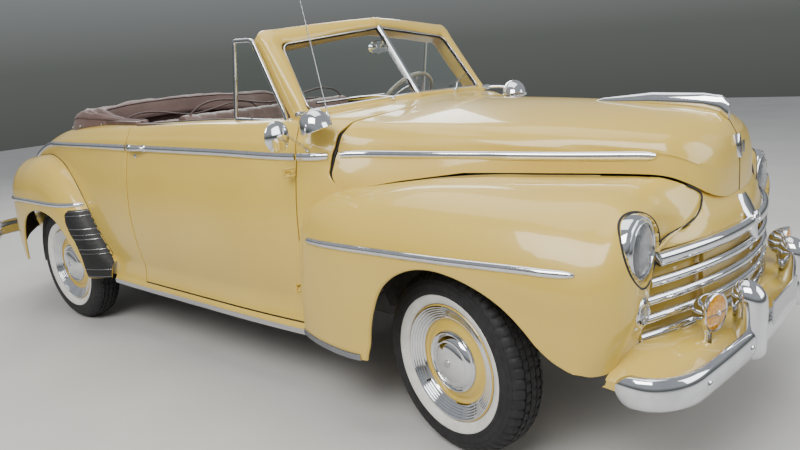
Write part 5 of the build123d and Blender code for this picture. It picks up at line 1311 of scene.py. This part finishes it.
for side, name in ((1, "left"), (-1, "right")):
    nn = flip_y(normal, side)
    shape = ((0, -9, 0), (0, 9, 0), (.10, 15, 0), (.32, 19, 0), (.66, 19, 0), (.88, 14, 0), (.98, 3, 0), (1, -10, 0), (1, .86, 1), (.95, .96, 1), (.6, 1, 1), (.16, .97, 1), (.03, .8, 1))
    rings = []
    for t_, d_, deep in shape:
        sh = inner_h * (1 - t_) + outer_h * t_
        rings.append(pane(sh[:, 0], sh[:, 1]) + (back_d * d_ if deep else d_ + 0 * back_d)[:, None] * normal)
    v = flip_y(np.stack(rings, 1), side)
    nu_, nv_ = v.shape[:2]
    f = quads(nu_, nv_, close_v=True).tolist() + [list(range(nv_))[::-1], [(nu_ - 1) * nv_ + i for i in range(nv_)]]
    tidy(make("windshield_surround_" + name, v, f, PAINT, sharp=50))
    g3 = flip_y(pane(gasket_h[:, 0], gasket_h[:, 1], 0), side)
    v, f = sweep(g3, circle_profile(6.5, 12, 9), up=nn, closed=True)
    tidy(make("windshield_rubber_" + name, v, f, TRIM_RUBBER))
    v, f = sweep(g3 + nn * 7, circle_profile(4.2, 12, 4.5), up=nn, closed=True)
    tidy(make("windshield_reveal_" + name, v, f, CHROME))
    loop = flip_y(pane(gasket_h[:, 0], gasket_h[:, 1], 2.5), side)
    loop2 = flip_y(pane(gasket_h[:, 0], gasket_h[:, 1], -2.5), side)
    m = len(loop)
    v = np.concatenate([loop, loop2])
    f = [list(range(m)), list(range(2 * m - 1, m - 1, -1))] + [[i, (i + 1) % m, m + (i + 1) % m, m + i] for i in range(m)]
    tidy(make("windshield_pane_" + name, v, f, GLASS, smooth=False))
    # wiper: pivot, arm and blade lying along the foot of the pane
    (px, s0, h0, s1, h1) = (190, 212, 27, 590, 36) if side < 0 else (330, 350, 30, 612, 98)
    p0 = flip_y(pane(px, -10, 34), side)
    turned_piece("wiper_pivot_" + name, [(-20, 0), (-20, 13), (0, 12), (8, 9), (12, 0)], flip_y(pane(px, -10, 26), side), nn, CHROME, n=24)
    mid_s, mid_h = s0 * .45 + s1 * .55, h0 * .45 + h1 * .55
    swept("wiper_arm_" + name, smooth_line([p0, flip_y(pane(px * .7 + mid_s * .3, mid_h * .35, 30), side), flip_y(pane(mid_s, mid_h, 17), side)], 16), circle_profile(2.8, 8, 3.8), CHROME, up=nn)
    b0, b1 = flip_y(pane(s0, h0, 9), side), flip_y(pane(s1, h1, 9), side)
    swept("wiper_blade_" + name, [b0, (arr(b0) + arr(b1)) / 2, b1], [(-2, -5), (2, -5), (1, 5), (-1, 5)], TRIM_RUBBER, up=nn)
    swept("wiper_spine_" + name, [b0 + nn * 5, (arr(b0) + arr(b1)) / 2 + nn * 7, b1 + nn * 5], circle_profile(2.4, 8), STAINLESS, up=nn)
    # the foot seal between frame and cowl
    s = np.linspace(0, 664, 40)
    foot = flip_y(pane(s, -30, 4), side)
    v, f = sweep(foot, circle_profile(30, 14, 7), up=(0, 0, 1))
    tidy(make("windshield_seal_" + name, v, f, TRIM_RUBBER))
    # vent window on the door
    y = side * 691.0
    vent = rounded([(352, 1224), (700, 1214), (690, 1250), (530, 1564), (404, 1568)], [10, 10, 20, 26, 16], 8)
    g3 = np.stack([vent[:, 0], 0 * vent[:, 0] + y, vent[:, 1]], 1)
    v, f = sweep(g3, rounded([(-9, -7.5), (9, -7.5), (9, 7.5), (-9, 7.5)], [5, 5, 5, 5], 4), up=(0, 1, 0), closed=True)
    tidy(make("vent_frame_" + name, v, f, CHROME, "door_" + name, sharp=60))
    m = len(vent)
    v = np.concatenate([g3 + arr((0, 2.4, 0)), g3 - arr((0, 2.4, 0))])
    f = [list(range(m)), list(range(2 * m - 1, m - 1, -1))] + [[i, (i + 1) % m, m + (i + 1) % m, m + i] for i in range(m)]
    tidy(make("vent_pane_" + name, v, f, GLASS, "door_" + name, smooth=False))
    turned_piece("vent_pivot_" + name, [(-9, 0), (-9, 8), (9, 8), (9, 0)], (470, y, 1222), (0, 0, 1), CHROME, "door_" + name, n=20)
    # door top rail seal, where the glass goes down
    v, f = sweep(np.stack([(x, side * 667, float(side_skin.z_on_top([x], 668.0)[0]) + 1) for x in np.linspace(-470, 350, 24)]), circle_profile(5, 8, 4), up=(0, 0, 1))
    joined("door_top_seal_" + name, [(v, f)], TRIM_RUBBER, "door_" + name)
# divider bar between the panes
v, f = sweep(np.stack([base_c + rise * t + arr((4, 0, 0)) for t in (0, 200, 404)]) * (1, 0, 1), rounded([(-11, -16), (11, -16), (11, 12), (-11, 12)], [4, 4, 7, 7], 5), up=(1, 0, .69))
tidy(make("windshield_divider", v, f, CHROME, sharp=60))
v, f = lathe([(0, 0), (0, 30), (4, 33), (12, 24), (15, 0)], (640, 0, 1500), (-1, 0, 0.1), 36)
v = v.copy()
v[:, 1] *= 2.2
mirror_in = tidy(welded(make("inner_mirror_shell", v, f, CHROME, sharp=35), 0.00002))
v, f = lathe([(0, 0), (0, 27), (2, 27), (2, 0)], (639, 0, 1500), (-1, 0, 0.1), 36)
v = v.copy()
v[:, 1] *= 2.2
tidy(welded(make("inner_mirror_glass", v + arr((-14, 0, 1.4)), f, MIRROR_FACE), 0.00002))
swept("inner_mirror_stem", smooth_line([(650, 0, 1500), (668, 0, 1530), (664, 0, 1560)], 10), circle_profile(4, 10), CHROME, up=(0, 1, 0))

# ---- hinges, firewall, wheel houses and linings --------------------------------------
for side, name in ((1, "left"), (-1, "right")):
    for i, z in enumerate((525, 1020)):
        y = side * 825
        parts_f = []
        for dz in (-15.5, 15.5):
            parts_f.append(lathe([(z + dz - 6.5, 0), (z + dz - 6.5, 5), (z + dz - 5, 6.5), (z + dz + 5, 6.5), (z + dz + 6.5, 5), (z + dz + 6.5, 0)], (800, y, 0), (0, 0, 1), 20))
        ob = joined("hinge_%d_barrels_%s" % (i, name), parts_f, PAINT, sharp=35)
        welded(ob, 0.00002)
        arms = [sweep(smooth_line([(801, side * 823, z + dz), (808, side * 815, z + dz), (814, side * 800, z + dz), (816, side * 782, z + dz)], 10), circle_profile(4.5, 10, 5), up=(0, 0, 1)) for dz in (-15.5, 15.5)]
        joined("hinge_%d_arms_%s" % (i, name), arms, PAINT)
        ob = joined("hinge_%d_middle_%s" % (i, name), [lathe([(z - 8, 0), (z - 8, 5), (z - 6.5, 6.5), (z + 6.5, 6.5), (z + 8, 5), (z + 8, 0)], (800, y, 0), (0, 0, 1), 20)], PAINT, "door_" + name, sharp=35)
        welded(ob, 0.00002)
        arms = [sweep(smooth_line([(799, side * 822, z), (793, side * 814, z), (788, side * 800, z), (786, side * 782, z)], 10), circle_profile(4.5, 10, 6), up=(0, 0, 1))]
        joined("hinge_%d_door_arm_%s" % (i, name), arms, PAINT, "door_" + name)
    # rear wheel house
    t = np.linspace(-0.08, math.pi + 0.08, 40)
    tub = np.stack([np.stack([XR + r * np.cos(t), 0 * t + side * y, 350 + r * np.sin(t)], 1) for y, r in ((818, 386), (760, 386), (700, 386), (650, 384), (634, 372), (632, 330), (632, 200), (632, 60))])
    sheet_of("rear_wheel_house_" + name, tub, UNDER, ref=(XR, side * 2000, -6000), t=4, edge=None)
    # front inner wing: a vertical wall inboard of the wheel
    xs = np.linspace(1075, 2150, 30)
    wall_y = np.minimum(np.interp(xs, (1075, 1180, 1600, 2150), (600, 470, 440, 372)), 1000)
    rows_ = [np.stack([xs, side * (wall_y + d), 0 * xs + z], 1) for d, z in ((-56, 400), (-34, 450), (-6, 520), (0, 640), (4, 800), (8, 920), (16, 968))]
    sheet_of("front_inner_wing_" + name, np.stack(rows_), UNDER, ref=(1600, 0, 700), t=4, edge=None)
    # cabin side lining behind the doors, and the door cards
    prof = rounded([(-474, 404), (752, 404), (786, 640), (786, 1205), (-474, 1205)], [16, 16, 20, 30, 30], 5)
    m = len(prof)
    card = np.concatenate([np.stack([prof[:, 0], 0 * prof[:, 0] + side * y, prof[:, 1]], 1) for y in (722, 694)])
    f = [list(range(m)), list(range(2 * m - 1, m - 1, -1))] + [[i, (i + 1) % m, m + (i + 1) % m, m + i] for i in range(m)]
    bevel(tidy(make("door_card_" + name, card, f, LEATHER, "door_" + name, sharp=40)), 5, 2)
    for i, z in enumerate((560, 980)):
        swept("door_card_piping_%d_%s" % (i, name), [(-450, side * 693, z), (160, side * 692, z), (760, side * 693, z)], circle_profile(4, 8), PIPING, "door_" + name)
    turned_piece("window_crank_rose_" + name, [(0, 0), (0, 24), (8, 22), (14, 12), (16, 0)], (120, side * 694, 900), (0, -side, 0), CHROME, "door_" + name, n=28)
    swept("window_crank_" + name, smooth_line([(120, side * 682, 900), (150, side * 676, 862), (166, side * 672, 820)], 10), circle_profile(5, 10), CHROME, "door_" + name, up=(0, 1, 0))
    turned_piece("window_crank_knob_" + name, [(0, 0), (0, 8), (12, 11), (24, 9), (26, 0)], (167, side * 674, 818), (0, -side, 0), IVORY, "door_" + name, n=20)
    swept("armrest_" + name, smooth_line([(-300, side * 690, 820), (-250, side * 668, 832), (60, side * 664, 834), (110, side * 690, 824)], 30), rounded([(-14, -22), (14, -22), (14, 20), (-14, 20)], [8, 8, 10, 10], 4), LEATHER, "door_" + name)
    prof = rounded([(-1120, 566), (-492, 566), (-492, 1212), (-1060, 1212)], [20, 10, 16, 26], 5)
    m = len(prof)
    card = np.concatenate([np.stack([prof[:, 0], side * (y + np.interp(prof[:, 0], (-1120, -492), (-62, 0))), prof[:, 1]], 1) for y in (704, 672)])
    f = [list(range(m)), list(range(2 * m - 1, m - 1, -1))] + [[i, (i + 1) % m, m + (i + 1) % m, m + i] for i in range(m)]
    bevel(tidy(make("quarter_lining_" + name, card, f, LEATHER, sharp=40)), 5, 2)
    # scuff plate on the sill
    joined("door_scuff_plate_" + name, [block(-470, 760, *sorted((side * 706, side * 776)), 344, 350)], STAINLESS, edge=1.5)
fw = rounded([(-650, 575), (650, 575), (650, 800), (630, 1110), (520, 1205), (-520, 1205), (-630, 1110), (-650, 800)], [20] * 8, 4)
m = len(fw)
v = np.concatenate([np.stack([0 * fw[:, 0] + x, fw[:, 0], fw[:, 1]], 1) for x in (938, 930)])
f = [list(range(m)), list(range(2 * m - 1, m - 1, -1))] + [[i, (i + 1) % m, m + (i + 1) % m, m + i] for i in range(m)]
bevel(tidy(make("firewall", v, f, PAINT_IN, sharp=40)), 2, 2)
joined("seat_back_bulkhead", [block(-1186, -1178, -556, 556, 562, 1212)], CARPET, edge=3)
joined("trunk_floor_mat", [block(-2190, -1420, -455, 455, 562, 568)], CARPET, edge=3)
for x, name in ((-1560, "front"), (-2200, "rear")):
    swept("lid_gutter_" + name, [(x - 10 if name == "front" else x - 95, y, (1146 if name == "front" else 640) - abs(y) * .03) for y in np.linspace(-430, 430, 9)], [(-6, -3), (6, -3), (6, 3), (-6, 3)], PAINT_IN)
for i, y in enumerate((-380, 380)):
    swept("lid_hinge_%d" % i, smooth_line([(-1540, y, 1120), (-1572, y, 1150), (-1640, y, 1132), (-1760, y, 1092)], 20), [(-5, -10), (5, -10), (5, 10), (-5, 10)], BLACK, "trunk_lid")
y = 0
turned_piece("lid_handle_base", [(-6, 0), (-6, 24), (4, 22), (12, 12), (16, 0)], (-2240, 0, 842), (-.75, 0, .66), CHROME, "trunk_lid", n=30)
swept("lid_handle", smooth_line([(-2256, 0, 868), (-2272, 0, 850), (-2300, 0, 800), (-2312, 0, 764)], 16), circle_profile(7, 14, 11), CHROME, "trunk_lid", up=(0, 1, 0), scale=np.linspace(1, .6, 16))

# ---- dashboard, column and steering wheel --------------------------------------------
dyy = np.linspace(-628, 628, 61)
dprof = smooth_line([(702, 1212), (690, 1226), (664, 1228), (640, 1214), (622, 1176), (616, 1130), (626, 1084), (642, 1040), (668, 1012), (700, 1006)], 34)
grid = np.stack([np.stack([dprof[:, 0] + 24 * (y / 628) ** 2, 0 * dprof[:, 0] + y, dprof[:, 1]], 1) for y in dyy])
sheet_of("dash_panel", grid, TAN, ref=(900, 0, 1100), t=8, edge=2)
swept("dash_top_roll", [(676 + 24 * (y / 600) ** 2, y, 1229) for y in np.linspace(-600, 600, 31)], circle_profile(26, 16, 8), LEATHER, sharp=None)
for i, (yy_, r) in enumerate(((380, 62), (250, 34), (500, 34))):
    turned_piece("dash_gauge_bezel_%d" % i, [(0, r + 1), (0, r + 7), (9, r + 6), (13, r + 1), (10, r - 2), (2, r - 2)], (624 + 24 * (yy_ / 628) ** 2, yy_, 1148), (-.97, 0, .22), CHROME, n=44, close=True)
    turned_piece("dash_gauge_face_%d" % i, [(0, 0), (0, r), (5, r), (5, 0)], (624 + 24 * (yy_ / 628) ** 2, yy_, 1148), (-.97, 0, .22), DIAL, n=44)
for i, yy_ in enumerate((-60, 0, 60, 130)):
    turned_piece("dash_knob_%d" % i, [(0, 0), (0, 6), (10, 6), (12, 12), (24, 13), (28, 9), (29, 0)], (628, yy_, 1076), (-.93, 0, -.36), IVORY, n=24)
for i in range(7):
    swept("dash_grille_%d" % i, [(621, -95, 1120 + i * 10), (617, 0, 1120 + i * 10), (621, 95, 1120 + i * 10)], circle_profile(2.2, 8), CHROME)
swept("dash_glove_outline", rounded([(-520, 1096), (-260, 1096), (-260, 1178), (-520, 1178)], [14] * 4, 6)[:, [0, 0, 1]] * (0, 1, 1) + arr((628, 0, 0)), circle_profile(2, 8), TRIM_RUBBER, up=(1, 0, 0), closed=True)
turned_piece("dash_glove_button", [(0, 0), (0, 10), (8, 10), (12, 6), (13, 0)], (628, -290, 1137), (-1, 0, 0), CHROME, n=20)
C = arr((500.0, 380.0, 1150.0))
COL = arr((-0.80, 0, 0.60))
C = C + COL * 55
ax, ea, eb = basis(COL)
th = np.linspace(0, 2 * math.pi, 97)[:-1]
rim_path = C + 208 * (np.cos(th)[:, None] * ea + np.sin(th)[:, None] * eb)
v, f = sweep(rim_path, circle_profile(10.5, 16), up=COL, closed=True)
tidy(make("steering_rim", v, f, IVORY, "steering_wheel"))
for i, a in enumerate((0.0, 2.094, 4.189)):
    d = math.cos(a + .52) * ea + math.sin(a + .52) * eb
    for j, off in enumerate((-8, 0, 8)):
        t_ = np.cross(COL, d)
        swept("steering_spoke_%d_%d" % (i, j), [C + d * 30 + t_ * off - COL * 6, C + d * 110 + t_ * off * .9 - COL * 3, C + d * 204 + t_ * off * .6], circle_profile(2.8, 8), STAINLESS, "steering_wheel", up=COL)
v, f = sweep(C + 128 * (np.cos(th)[:, None] * ea + np.sin(th)[:, None] * eb) + COL * 6, circle_profile(4, 10), up=COL, closed=True)
tidy(make("steering_horn_ring", v, f, CHROME, "steering_wheel"))
for i, a in enumerate((1.57, 4.71)):
    d = math.cos(a) * ea + math.sin(a) * eb
    swept("steering_horn_arm_%d" % i, [C + d * 30 + COL * 12, C + d * 128 + COL * 6], circle_profile(3.4, 8), CHROME, "steering_wheel", up=COL)
turned_piece("steering_boss", [(-26, 0), (-26, 34), (-4, 40), (8, 38), (15, 26), (17, 0)], C, COL, IVORY, "steering_wheel", n=44)
turned_piece("steering_boss_cap", [(12, 0), (12, 22), (17, 22), (20, 14), (21, 0)], C, COL, CHROME, "steering_wheel", n=36)
foot = C - COL * 655
turned_piece("column_jacket", [(0, 0), (0, 24), (490, 24), (505, 30), (550, 30), (612, 26), (624, 22), (624, 0)], foot, COL, IVORY, n=36)
swept("column_shift_lever", smooth_line([C - COL * 70, C - COL * 66 + arr((0, -90, 16)), C - COL * 58 + arr((0, -190, 30))], 14), circle_profile(4.5, 10), CHROME)
turned_piece("column_shift_knob", [(-12, 0), (-10, 8), (0, 12), (10, 8), (12, 0)], C - COL * 58 + arr((0, -196, 31)), (0, -1, .1), IVORY, n=24)
for i, (y0_, w) in enumerate(((470, 60), (350, 60), (240, 44))):
    joined("pedal_%d" % i, [block(742, 752, y0_ - w / 2, y0_ + w / 2, 590 if i < 2 else 520, 660 if i < 2 else 640)], TRIM_RUBBER, edge=3)
    swept("pedal_arm_%d" % i, [(752, y0_, 620), (800, y0_, 560), (850, y0_, 440)], circle_profile(7, 8), BLACK, up=(0, 1, 0))

# ---- seats: padded forms blown up by a short cloth simulation ------------------------
def cushion(name, outline, half, voxel, crown_axis=None):
    """A prism from an X, Z outline, remeshed evenly; the simulation rounds it afterwards."""
    pts = even(np.concatenate([rounded(outline, [26] * len(outline), 5), rounded(outline, [26] * len(outline), 5)[:1]]), 90)[:-1]
    m = len(pts)
    v = np.concatenate([np.stack([pts[:, 0], 0 * pts[:, 0] + y, pts[:, 1]], 1) for y in (-half, half)])
    f = [list(range(m)), list(range(2 * m - 1, m - 1, -1))] + [[i, (i + 1) % m, m + (i + 1) % m, m + i] for i in range(m)]
    ob = tidy(make(name, v, f, LEATHER))
    r = ob.modifiers.new("even", "REMESH")
    r.mode, r.voxel_size, r.use_smooth_shade = "VOXEL", voxel * MM, True
    bake(ob)
    s = ob.modifiers.new("round", "SMOOTH")
    s.factor, s.iterations = 0.6, 10
    bake(ob)
    return ob


def bake(ob):
    dg = bpy.context.evaluated_depsgraph_get()
    me = bpy.data.meshes.new_from_object(ob.evaluated_get(dg), depsgraph=dg)
    ob.modifiers.clear()
    mats = list(ob.data.materials)
    ob.data = me
    if not me.materials:
        for mat in mats:
            me.materials.append(mat)
    me.polygons.foreach_set("use_smooth", [True] * len(me.polygons))


SEATS = (
    ("front_cushion", ((-186, 420), (322, 420), (360, 560), (348, 706), (294, 726), (-150, 682)), 612, 15),
    ("front_back", ((-152, 712), (-46, 716), (-122, 1000), (-192, 1246), (-256, 1250), (-292, 1196)), 612, 13),
    ("rear_cushion", ((-786, 424), (-484, 424), (-454, 560), (-462, 680), (-504, 696), (-786, 676)), 566, 15),
    ("rear_back", ((-1002, 724), (-852, 708), (-888, 900), (-964, 1160), (-1032, 1188), (-1082, 1142)), 566, 13),
)
cushions = [cushion("seat_" + n, o, h, vx) for n, o, h, vx in SEATS]
before = []
for ob in cushions:
    co = np.empty(len(ob.data.vertices) * 3)
    ob.data.vertices.foreach_get("co", co)
    before.append(co.reshape(-1, 3))
    c = ob.modifiers.new("cloth", "CLOTH")
    c.settings.quality = 4
    c.settings.mass = 0.25
    c.settings.tension_stiffness = 18
    c.settings.compression_stiffness = 18
    c.settings.bending_stiffness = 0.6
    c.settings.use_pressure = True
    c.settings.uniform_pressure_force = 4
    c.settings.effector_weights.gravity = 0
    c.point_cache.frame_start, c.point_cache.frame_end = 1, 16
for frame_no in range(1, 17):
    scene.frame_set(frame_no)
for ob, was in zip(cushions, before):
    bake(ob)
    co = np.empty(len(ob.data.vertices) * 3)
    ob.data.vertices.foreach_get("co", co)
    co = co.reshape(-1, 3)
    move = co - was
    far = np.linalg.norm(move, axis=1)[:, None]
    co = was + move * np.minimum(1, 0.016 / np.maximum(far, 1e-9))
    ob.data.vertices.foreach_set("co", co.ravel())
    ob.data.update()
scene.frame_set(1)
for ob, (n, o, half, vx) in zip(cushions, SEATS):
    # sewn channels: the cover is drawn in along lines across the seat's width
    me = ob.data
    co, no = np.empty(len(me.vertices) * 3), np.empty(len(me.vertices) * 3)
    me.vertices.foreach_get("co", co)
    me.vertices.foreach_get("normal", no)
    co, no = co.reshape(-1, 3), no.reshape(-1, 3)
    pitch = 0.102
    d = np.abs((co[:, 1] / pitch + 0.5) % 1 - 0.5) * pitch
    middle = np.clip((half * MM - 0.05 - np.abs(co[:, 1])) / 0.03, 0, 1)
    face = np.clip((no[:, 0] * 0.5 + no[:, 2] * 0.5 if "back" in n else no[:, 2]) * 1.6, 0, 1)
    co += no * (-0.0065 * np.exp(-(d / 0.009) ** 2) * middle * face)[:, None]
    me.vertices.foreach_set("co", co.ravel())
    me.update()
    s = ob.modifiers.new("fine", "SUBSURF")
    s.levels = s.render_levels = 1
for n, z, xx in (("front", 1222, -210), ("rear", 1160, -1000)):
    half = 590 if n == "front" else 548
    swept("seat_piping_" + n, smooth_line([(xx - 8, -half, z - 26), (xx + 2, -half + 40, z + 16), (xx + 4, 0, z + 22), (xx + 2, half - 40, z + 16), (xx - 8, half, z - 26)], 60), circle_profile(5, 10), PIPING)

# ---- boot: the cover over the folded roof -------------------------------------------
o_xy = smooth_line([(-500, 668), (-800, 662), (-960, 676), (-1080, 712), (-1230, 700), (-1350, 600), (-1405, 440), (-1420, 200), (-1422, 0)], 110)
i_xy = smooth_line([(-500, 632), (-800, 618), (-985, 580), (-1080, 530), (-1126, 440), (-1142, 300), (-1148, 150), (-1148, 0)], 110)
nb = 46
tb = np.linspace(0, 1, nb)
half_rows = []
for k in range(110):
    o, i_ = o_xy[k], i_xy[k]
    s = k / 109.0
    xy = o[None] * (1 - tb)[:, None] + i_[None] * tb[:, None]
    ze = float(side_skin.z_on_top([o[0]], min(abs(o[1]), 700.0))[0])
    zi = float(side_skin.z_on_top([min(i_[0], -500)], min(abs(i_[1]), 660.0))[0])
    H = float(np.interp(s, (0, .16, .30, .42, .6, 1), (16, 24, 52, 94, 92, 86)))
    prof_h = np.interp(tb, (0, .035, .10, .22, .42, .62, .80, .92, 1), (-8, 26, 66, 88, 84, 72, 84, 62, -34))
    prof_h = blurred(prof_h[:, None], 1.6)[:, 0] * H / 88
    arc = s * 2100
    folds = (5.5 * np.sin(arc / 96 + 5 * tb) * np.sin(tb * math.pi) ** 2 + 3.2 * np.sin(arc / 41 + 9 * tb + 1.3) * np.sin(tb * math.pi) ** 2
             + 6.0 * np.exp(-((tb - .42 - .05 * np.sin(arc / 300)) / .05) ** 2) + 5.0 * np.exp(-((tb - .68 + .04 * np.sin(arc / 230)) / .045) ** 2)
             - 5.0 * np.exp(-((tb - .55 + .03 * np.sin(arc / 170)) / .04) ** 2))
    z = ze * (1 - tb) + zi * tb + prof_h + folds * min(1, H / 80)
    half_rows.append(np.stack([xy[:, 0], xy[:, 1], z], 1))
boot = np.stack(half_rows)
# the front ends close down on the belt behind the door
end = boot[0]
caps = []
for t in (1.0, .66, .33):
    r = end.copy()
    r[:, 0] += 3 + 16 * (1 - (1 - t) ** 2) * .6
    r[:, 2] = end[:, 2] * (1 - t) + (end[:, 2] - 17 * np.sin(tb * math.pi) ** .5) * t
    caps.append(r)
boot = np.concatenate([np.stack(caps), boot])
boot[-1, :, 1] = 0
full = mirrored(boot[::-1].transpose(1, 0, 2)[:, ::-1], 1).transpose(1, 0, 2)
full[..., 2] = np.minimum(full[..., 2], 1352)
cover = sheet_of("boot_cover", full, CANVAS, ref=(-1000, 0, 1000), t=3, edge=None)
g = full * MM
ring_line = lambda t, dz, n=150: smooth_line(full[::3, int(round(t * (nb - 1)))] + arr((0, 0, dz)), n)
for t, r in ((0.10, 4.5), (0.90, 4.0)):
    path = ring_line(t, 2)
    v, f = sweep(path, circle_profile(r, 10))
    tidy(make("boot_piping_%d" % int(t * 100), v, f, PIPING))
hem = full[:, 1]
for i, k in enumerate(np.linspace(34, len(hem) - 35, 13).astype(int)):
    p = hem[k]
    out = arr((p[0] + 900, p[1], 0))
    out = out / np.linalg.norm(out)
    turned_piece("boot_snap_%d" % i, [(-3, 0), (-3, 7), (1, 7), (3, 4), (3.5, 0)], p + arr((0, 0, 2)) + out * 5, out * .8 + arr((0, 0, .6)), CHROME, n=14)

# ---- what stays of the solid model gets its surfaces -----------------------------------
KEPT = {"chassis_frame": BLACK, "floor_pan": CARPET, "engine_block": IRON, "radiator": CORE, "fuel_tank": BLACK, "exhaust": STEEL, "front_axle": BLACK,
        "rear_axle": BLACK, "knuckle_left": BLACK, "knuckle_right": BLACK, "tie_rod": BLACK}
for node, mat in KEPT.items():
    for ob in bpy.data.objects:
        if ob.type == "MESH" and ob.name == node:
            ob.data.materials.clear()
            ob.data.materials.append(mat)
GONE = {"hood": ("hood_skin",), "cowl": ("cowl_skin",), "door_left": ("door_left_skin",), "door_right": ("door_right_skin",), "rear_body": ("rear_body_skin",),
        "trunk_lid": ("trunk_lid_skin",), "front_fender_left": ("front_fender_left_skin",), "front_fender_right": ("front_fender_right_skin",),
        "rear_fender_left": ("rear_fender_left_skin",), "rear_fender_right": ("rear_fender_right_skin",), "rocker_panels": ("sill_left",),
        "windshield_frame": ("windshield_surround_left",), "windshield_glass": ("windshield_pane_left",), "grille_panel": ("nose_header",),
        "grille_bars": ("grille_bar_0",), "front_bumper": ("front_bumper_blade",), "rear_bumper": ("rear_bumper_blade",), "headlamps": ("headlamp_bezel_left",),
        "fog_lamps": ("fog_body_left",), "spot_lamps": ("spot_bowl_left",), "tail_lamps": ("tail_bezel_left",), "antenna": ("aerial_rod",),
        "side_mirror": ("mirror_shell",), "dashboard": ("dash_panel",), "steering_column": ("column_jacket",), "steering_wheel": ("steering_rim",),
        "front_seat": ("seat_front_cushion",), "rear_seat": ("seat_rear_cushion",), "top_boot": ("boot_cover",)}
for s in ("fl", "fr", "rl", "rr"):
    GONE["wheel_" + s] = ("wheel_%s_rim" % s,)
    GONE["tyre_" + s] = ("tyre_%s_tread" % s,)
for node, (piece,) in GONE.items():
    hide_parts(node)
SLOT_OF = {"paint_pale_yellow": "body_paint", "paint_inner": "body_paint", "chrome": "chrome", "stainless": "chrome", "tyre_rubber": "tyre", "trim_rubber": "rubber",
           "whitewall": "tyre", "chassis_black": "chassis_black", "underseal": "chassis_black", "seat_leather": "seat_leather", "piping": "seat_leather",
           "boot_cover": "boot_fabric", "carpet": "carpet", "dash_tan": "dash_paint", "wheel_plastic": "wheel_plastic", "red_lens": "red_lens",
           "window_glass": "glass", "lamp_glass": "glass", "amber_lens": "red_lens", "reflector": "chrome", "mirror_face": "chrome", "dials": "dash_paint"}
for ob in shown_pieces():
    if ob.data.materials and ob.data.materials[0] and ob.data.materials[0].name in SLOT_OF and ob.name not in KEPT:
        name = SLOT_OF[ob.data.materials[0].name]
        if name == "body_paint" and ob.name.startswith("wheel_"):
            name = "wheel_paint"

# ---- floor and light ---------------------------------------------------------------------
FLOOR = material("pale_floor", (0.60, 0.59, 0.57), (0.56, 0.55, 0.53), rough=0.55, scale=1.6, bump=0.05, bump_scale=40)
me = bpy.data.meshes.new("floor")
me.from_pydata([(-14, -14, 0), (14, -14, 0), (14, 14, 0), (-14, 14, 0)], [], [(0, 1, 2, 3)])
me.materials.append(FLOOR)
floor = bpy.data.objects.new("floor", me)
scene.collection.objects.link(floor)
floor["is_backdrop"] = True


def area_light(name, loc, target, size, energy, colour=(1, 1, 1)):
    d = bpy.data.lights.new(name, "AREA")
    d.shape, d.size, d.size_y, d.energy, d.color = "RECTANGLE", size[0], size[1], energy, colour
    o = bpy.data.objects.new(name, d)
    scene.collection.objects.link(o)
    o.location = loc
    o.rotation_euler = (Vector(target) - Vector(loc)).to_track_quat("-Z", "Y").to_euler()
    return o


area_light("key", (2.2, -5.0, 5.2), (0, 0, 0.7), (4.5, 3.0), 430, (1, .985, .96))
area_light("fill", (6.2, 1.6, 3.0), (0.6, 0, 0.7), (4.0, 3.0), 150, (.95, .975, 1))
area_light("back", (-4.2, 3.4, 4.6), (0, 0, 0.8), (5.0, 2.5), 260)
area_light("top", (0, 0, 6.0), (0, 0, 0), (6.0, 4.0), 170)
world = bpy.data.worlds.new("studio")
scene.world = world
world.use_nodes = True
nt = world.node_tree
bg = nt.nodes["Background"]
bg.inputs["Strength"].default_value = 0.44
tc = nt.nodes.new("ShaderNodeTexCoord")
sep = nt.nodes.new("ShaderNodeSeparateXYZ")
ramp = nt.nodes.new("ShaderNodeValToRGB")
nt.links.new(tc.outputs["Generated"], sep.inputs["Vector"])
mr = nt.nodes.new("ShaderNodeMapRange")
mr.inputs["From Min"].default_value = -1
nt.links.new(sep.outputs["Z"], mr.inputs["Value"])
nt.links.new(mr.outputs["Result"], ramp.inputs["Fac"])
e = ramp.color_ramp.elements
e[0].position, e[0].color = 0.40, (0.10, 0.10, 0.105, 1)
e[1].position, e[1].color = 0.62, (0.86, 0.90, 0.95, 1)
mid = ramp.color_ramp.elements.new(0.505)
mid.color = (0.26, 0.28, 0.26, 1)
nt.links.new(ramp.outputs["Color"], bg.inputs["Color"])

low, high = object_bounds()
SIZES["final_low"], SIZES["final_high"] = [float(x) for x in low], [float(x) for x in high]
SIZES["cad_low"], SIZES["cad_high"] = [float(x) for x in SIZES["cad_low"]], [float(x) for x in SIZES["cad_high"]]
# the heavy pieces are thinned, the near side's skins least, to keep the whole under a million triangles
for share, names in ((0.24, ("seat_front_back", "seat_front_cushion", "seat_rear_back", "seat_rear_cushion",
                             "rear_fender_liner_left", "rear_fender_liner_right")),
                     (0.5, ("front_fender_left_skin", "rear_fender_left_skin", "door_left_skin", "trunk_lid_skin",
                            "nose_header", "front_apron", "dash_panel")),
                     (0.62, ("rear_body_skin", "cowl_skin"))):
    for name in names:
        bpy.data.objects[name].modifiers.new("thin", "DECIMATE").ratio = share
